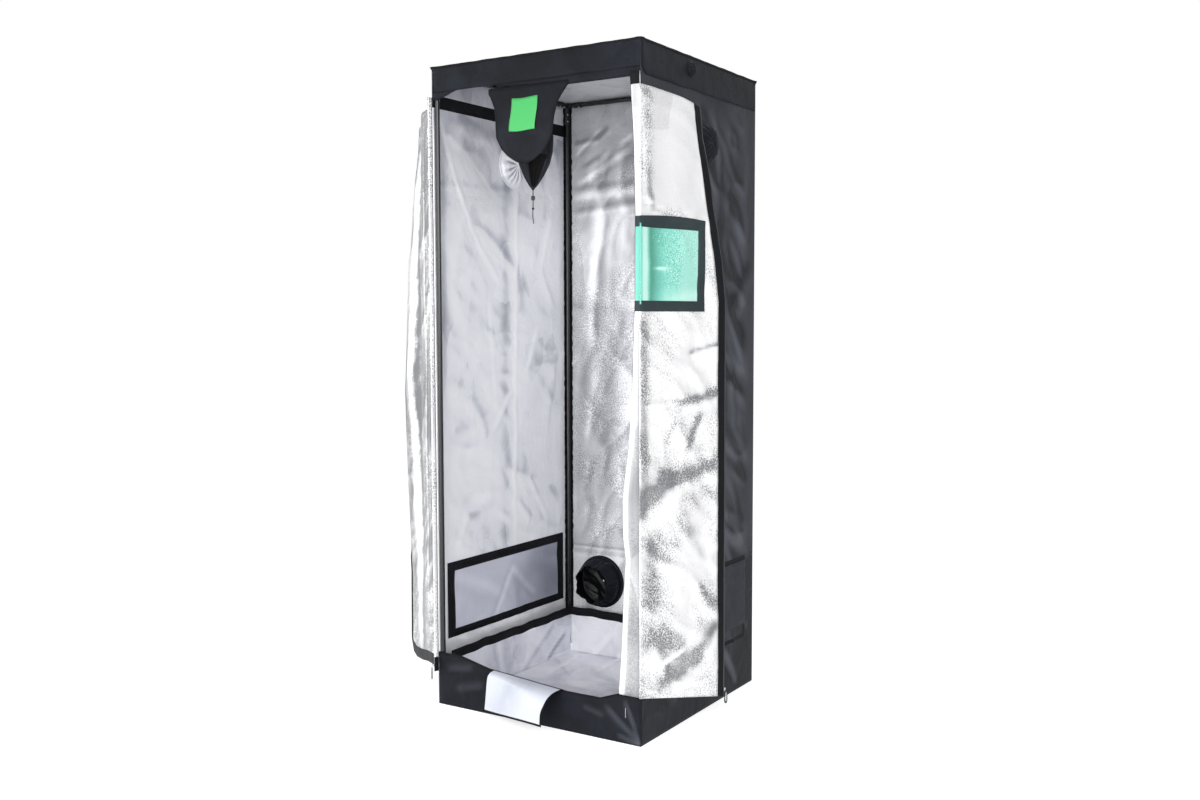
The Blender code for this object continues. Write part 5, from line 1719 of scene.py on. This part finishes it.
def sillFlap():
    hingeY = sill["hingeY"]
    slope = (sill["flapRightZ"] - sill["flapLeftZ"]) / (sill["flapRight"] - sill["flapLeft"])
    border = sill["binding"] / 0.26

    def spot(share, down):
        rootX = sill["flapLeft"] + (sill["flapRight"] - sill["flapLeft"]) * share
        near, far = curveThrough(sill["leftShares"], down), curveThrough(sill["rightShares"], down)
        out, rise = near.lerp(far, easy(share))
        hingeZ = sill["flapLeftZ"] + slope * (rootX - sill["flapLeft"])
        start = 0.0003 if down == 0 else 0.0
        return Vector((
            rootX + sill["drift"] * down, hingeY - sill["length"] * max(0.0, out) - start,
            hingeZ + sill["length"] * rise,
        ))

    rightBorder, root = 1 - border * 0.6, sill["flapRoot"]
    shares = spaced([0.0, border, rightBorder, 1.0], 0.032)
    downs = spaced([0.0, root, 1 - sill["binding"] / 0.16, 1.0], 0.038)

    def bound(u, v):
        return 1 if u < border * 0.75 or u > rightBorder or v < root or v > downs[-2] else 0

    # The flap's foil is painted lighter toward its hanging end, with a soft painted wave of light and shade
    obj = clothSheet(
        "sillFlap", shares, downs, spot, [flapFoil, outerCloth, tapeCloth, tapeCloth], (0, -1, 1), paint=bound,
        paintedShading=lambda u, v: 0.2 * math.sin(7 * u + 3 * v) + 0.6 * (v - 0.4),
    )
    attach(obj, "sill_flap")
    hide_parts("sill_flap")
    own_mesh(obj)


sillPanel()
sillFlap()
print("sill and flap made")


# Frame pieces keep their CAD shape
def frameFinish():
    for name, node in nodes.items():
        if name.endswith(("post", "rail", "bar")):
            finish = poleEnamel
        elif name.endswith("connector"):
            finish = connectorSteel
        else:
            continue
        for entry in node.material_slots:
            entry.material = finish


pull = {
    "long": 0.040,
    "wide": 0.0058,
    "flare": 0.0036,
    "sides": 36,
    "bands": ((1.0, 0.70, 0.0012), (0.70, 0.36, 0.0008)),
    "rightZ": 0.092,
    "leftZ": 0.124,
    "leftOut": 0.010,
}


def zipSlider(name, body, spot, edgeWay, biteWay, lining, facing):
    # Two plates on the zip's edge, and a drop-shaped pull that hangs from them: nickel in a black rim
    shape = bmesh.new()
    turn = Matrix((biteWay, lining, edgeWay)).transposed().to_4x4()
    turn.translation = spot
    for side in (-1, 1):
        plate = bmesh.ops.create_cube(shape, size=1.0)["verts"]
        for vert in plate:
            narrow = 0.72 if vert.co.z < 0 else 1.0
            across = vert.co.x * 0.0085 * narrow - 0.0005
            vert.co = Vector((across, side * 0.0021 + vert.co.y * 0.0016, vert.co.z * 0.0115))
        edges = list({edge for vert in plate for edge in vert.link_edges})
        made = bmesh.ops.bevel(shape, geom=plate + edges, offset=0.0006, segments=2, affect="EDGES")["verts"]
        bmesh.ops.transform(shape, matrix=turn, verts=made)
    flat = Vector(facing).normalized()
    hang = Matrix((flat.cross(Vector((0, 0, 1))), flat, (0, 0, 1))).transposed().to_4x4()
    hang.translation = Vector(spot) - Vector(biteWay) * 0.0035 + Vector(lining) * 0.0044
    middle = -pull["long"] * 0.56
    sides = pull["sides"]
    for index, (outer, inner, half) in enumerate(pull["bands"]):
        rings = []
        for share, lift in ((outer, -half), (outer, half), (inner, half), (inner, -half)):
            ring = []
            for i in range(sides):
                angle = 2 * math.pi * i / sides
                wide = pull["wide"] + pull["flare"] * max(0.0, -math.sin(angle))
                tall = share if index == 0 or share == outer else 0.5
                z = middle + math.sin(angle) * pull["long"] / 2 * tall
                ring.append(shape.verts.new(hang @ Vector((math.cos(angle) * wide * share, lift, z))))
            rings.append(ring)
        for one, two in zip(rings, rings[1:] + rings[:1]):
            for i in range(sides):
                j = (i + 1) % sides
                face = shape.faces.new((one[i], one[j], two[j], two[i]))
                face.material_index = 1 - index
    bmesh.ops.recalc_face_normals(shape, faces=shape.faces)
    mesh = toMesh(name, shape)
    mesh.set_sharp_from_angle(angle=math.radians(35))
    obj = place(name, mesh, [zipNickel, togglePlastic])
    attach(obj, body)
    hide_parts(f"{body}_slider")


def zipSliders():
    up = Vector((0, 0, 1))
    hinge, along, lining = doorFrame(1)
    edge = hinge + along * door["width"]
    spot = Vector((edge.x, edge.y, pull["rightZ"]))
    zipSlider("rightZipSlider", "right_zip", spot, up, -along, lining, lining)
    hinge, along, lining = doorFrame(-1)
    edge = hinge + along * pull["leftOut"]
    spot = Vector((edge.x, edge.y, pull["leftZ"]))
    zipSlider("leftZipSlider", "left_zip", spot, along, up, lining, lining + along * 0.4)


def cornerRivets():
    # Two small domed rivets on each sleeve of the eight corner connectors, on the side toward the inside
    shape = bmesh.new()
    beside = (-tent["post"], tent["post"])
    for (z, up), x, y in product(((0.012, 1), (1.9878, -1)), beside, beside):
        inward = Vector((-math.copysign(1, x), -math.copysign(1, y), up))
        for axis, reach in product(range(3), (0.030, 0.054)):
            way = Vector([inward[i] if i == axis else 0 for i in range(3)])
            face = Vector([0 if i == axis else inward[i] for i in range(3)]).normalized()
            turn = face.to_track_quat("Z", "Y").to_matrix().to_4x4()
            turn.translation = Vector((x, y, z)) + way * reach + face * 0.0100
            bmesh.ops.create_uvsphere(shape, u_segments=8, v_segments=4, radius=0.0024, matrix=turn)
    rivets = place("cornerRivets", toMesh("cornerRivets", shape), [zipNickel])
    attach(rivets, "tent")


frameFinish()
zipSliders()
cornerRivets()


# Floor, light and background
studio = {
    "floorColour": "#F4F4F4",
    "worldLight": 0.44,
    "floorGlow": 0.60,
}


def seenDirectly(tree):
    # 1 for what the camera, a mirror or glass shows, 0 for light that falls on the tent
    path = addNode(tree, "ShaderNodeLightPath")
    first = addNode(
        tree, "ShaderNodeMath", {"operation": "MAXIMUM"},
        {0: path.outputs["Is Camera Ray"], 1: path.outputs["Is Glossy Ray"]},
    )
    both = addNode(
        tree, "ShaderNodeMath", {"operation": "MAXIMUM"},
        {0: first.outputs["Value"], 1: path.outputs["Is Transmission Ray"]},
    )
    return both.outputs["Value"]


def makeStudio():
    shape = bmesh.new()
    bmesh.ops.create_grid(shape, x_segments=8, y_segments=8, size=30)
    bmesh.ops.translate(shape, vec=(0, 0, -0.0005), verts=shape.verts)
    material, tree = newMaterial("paleStudioFloor")
    spot = addNode(tree, "ShaderNodeTexCoord")
    cloud = addNode(tree, "ShaderNodeTexNoise", {"Scale": 2.0}, {"Vector": spot.outputs["Object"]})
    tint = addNode(
        tree, "ShaderNodeMix",
        {"data_type": "RGBA", 6: linear("#F2F2F2"), 7: linear(studio["floorColour"])},
        {0: cloud.outputs["Fac"]},
    )
    shader = addNode(
        tree, "ShaderNodeBsdfPrincipled", {"Roughness": 0.8, "Specular IOR Level": 0.1},
        {"Base Color": tint.outputs[2]},
    )
    seen = seenDirectly(tree)
    glow = addNode(tree, "ShaderNodeMath", {"operation": "MULTIPLY", 1: studio["floorGlow"]}, {0: seen})
    white = addNode(tree, "ShaderNodeEmission", None, {"Strength": glow.outputs["Value"]})
    both = addNode(
        tree, "ShaderNodeAddShader", None, {0: shader.outputs["BSDF"], 1: white.outputs["Emission"]},
    )
    addNode(tree, "ShaderNodeOutputMaterial", None, {"Surface": both.outputs["Shader"]})
    floor = place("studioFloor", toMesh("studioFloor", shape, smooth=False), [material])

    world = bpy.data.worlds.new("studioWorld")
    bpy.context.scene.world = world
    world.use_nodes = True
    tree = world.node_tree
    tree.nodes.clear()
    level = addNode(
        tree, "ShaderNodeMapRange", {"To Min": studio["worldLight"], "To Max": 1.0},
        {"Value": seenDirectly(tree)},
    )
    back = addNode(
        tree, "ShaderNodeBackground", {"Color": (1, 1, 1, 1)}, {"Strength": level.outputs["Result"]},
    )
    addNode(tree, "ShaderNodeOutputWorld", None, {"Surface": back.outputs["Background"]})

    for name, spot, aim, size, power in (
        ("keyLight", (2.7, -3.0, 2.1), (0, 0, 0.9), 2.0, 68.0),
        ("frontLight", (0.2, -4.2, 1.2), (0, 0, 0.6), 2.4, 118.0),
        ("fillLight", (-3.0, -2.0, 2.2), (0, 0, 1.0), 2.0, 25.0),
        ("topLight", (0.4, 0.6, 4.4), (0, 0, 1.0), 2.4, 25.0),
    ):
        lamp = bpy.data.lights.new(name, "AREA")
        lamp.energy = power
        lamp.size = size
        obj = bpy.data.objects.new(name, lamp)
        bpy.context.scene.collection.objects.link(obj)
        obj.location = spot
        obj.rotation_euler = (Vector(aim) - Vector(spot)).to_track_quat("-Z", "Y").to_euler()
    bpy.context.scene.view_settings.view_transform = "Standard"


makeStudio()
print("studio set")
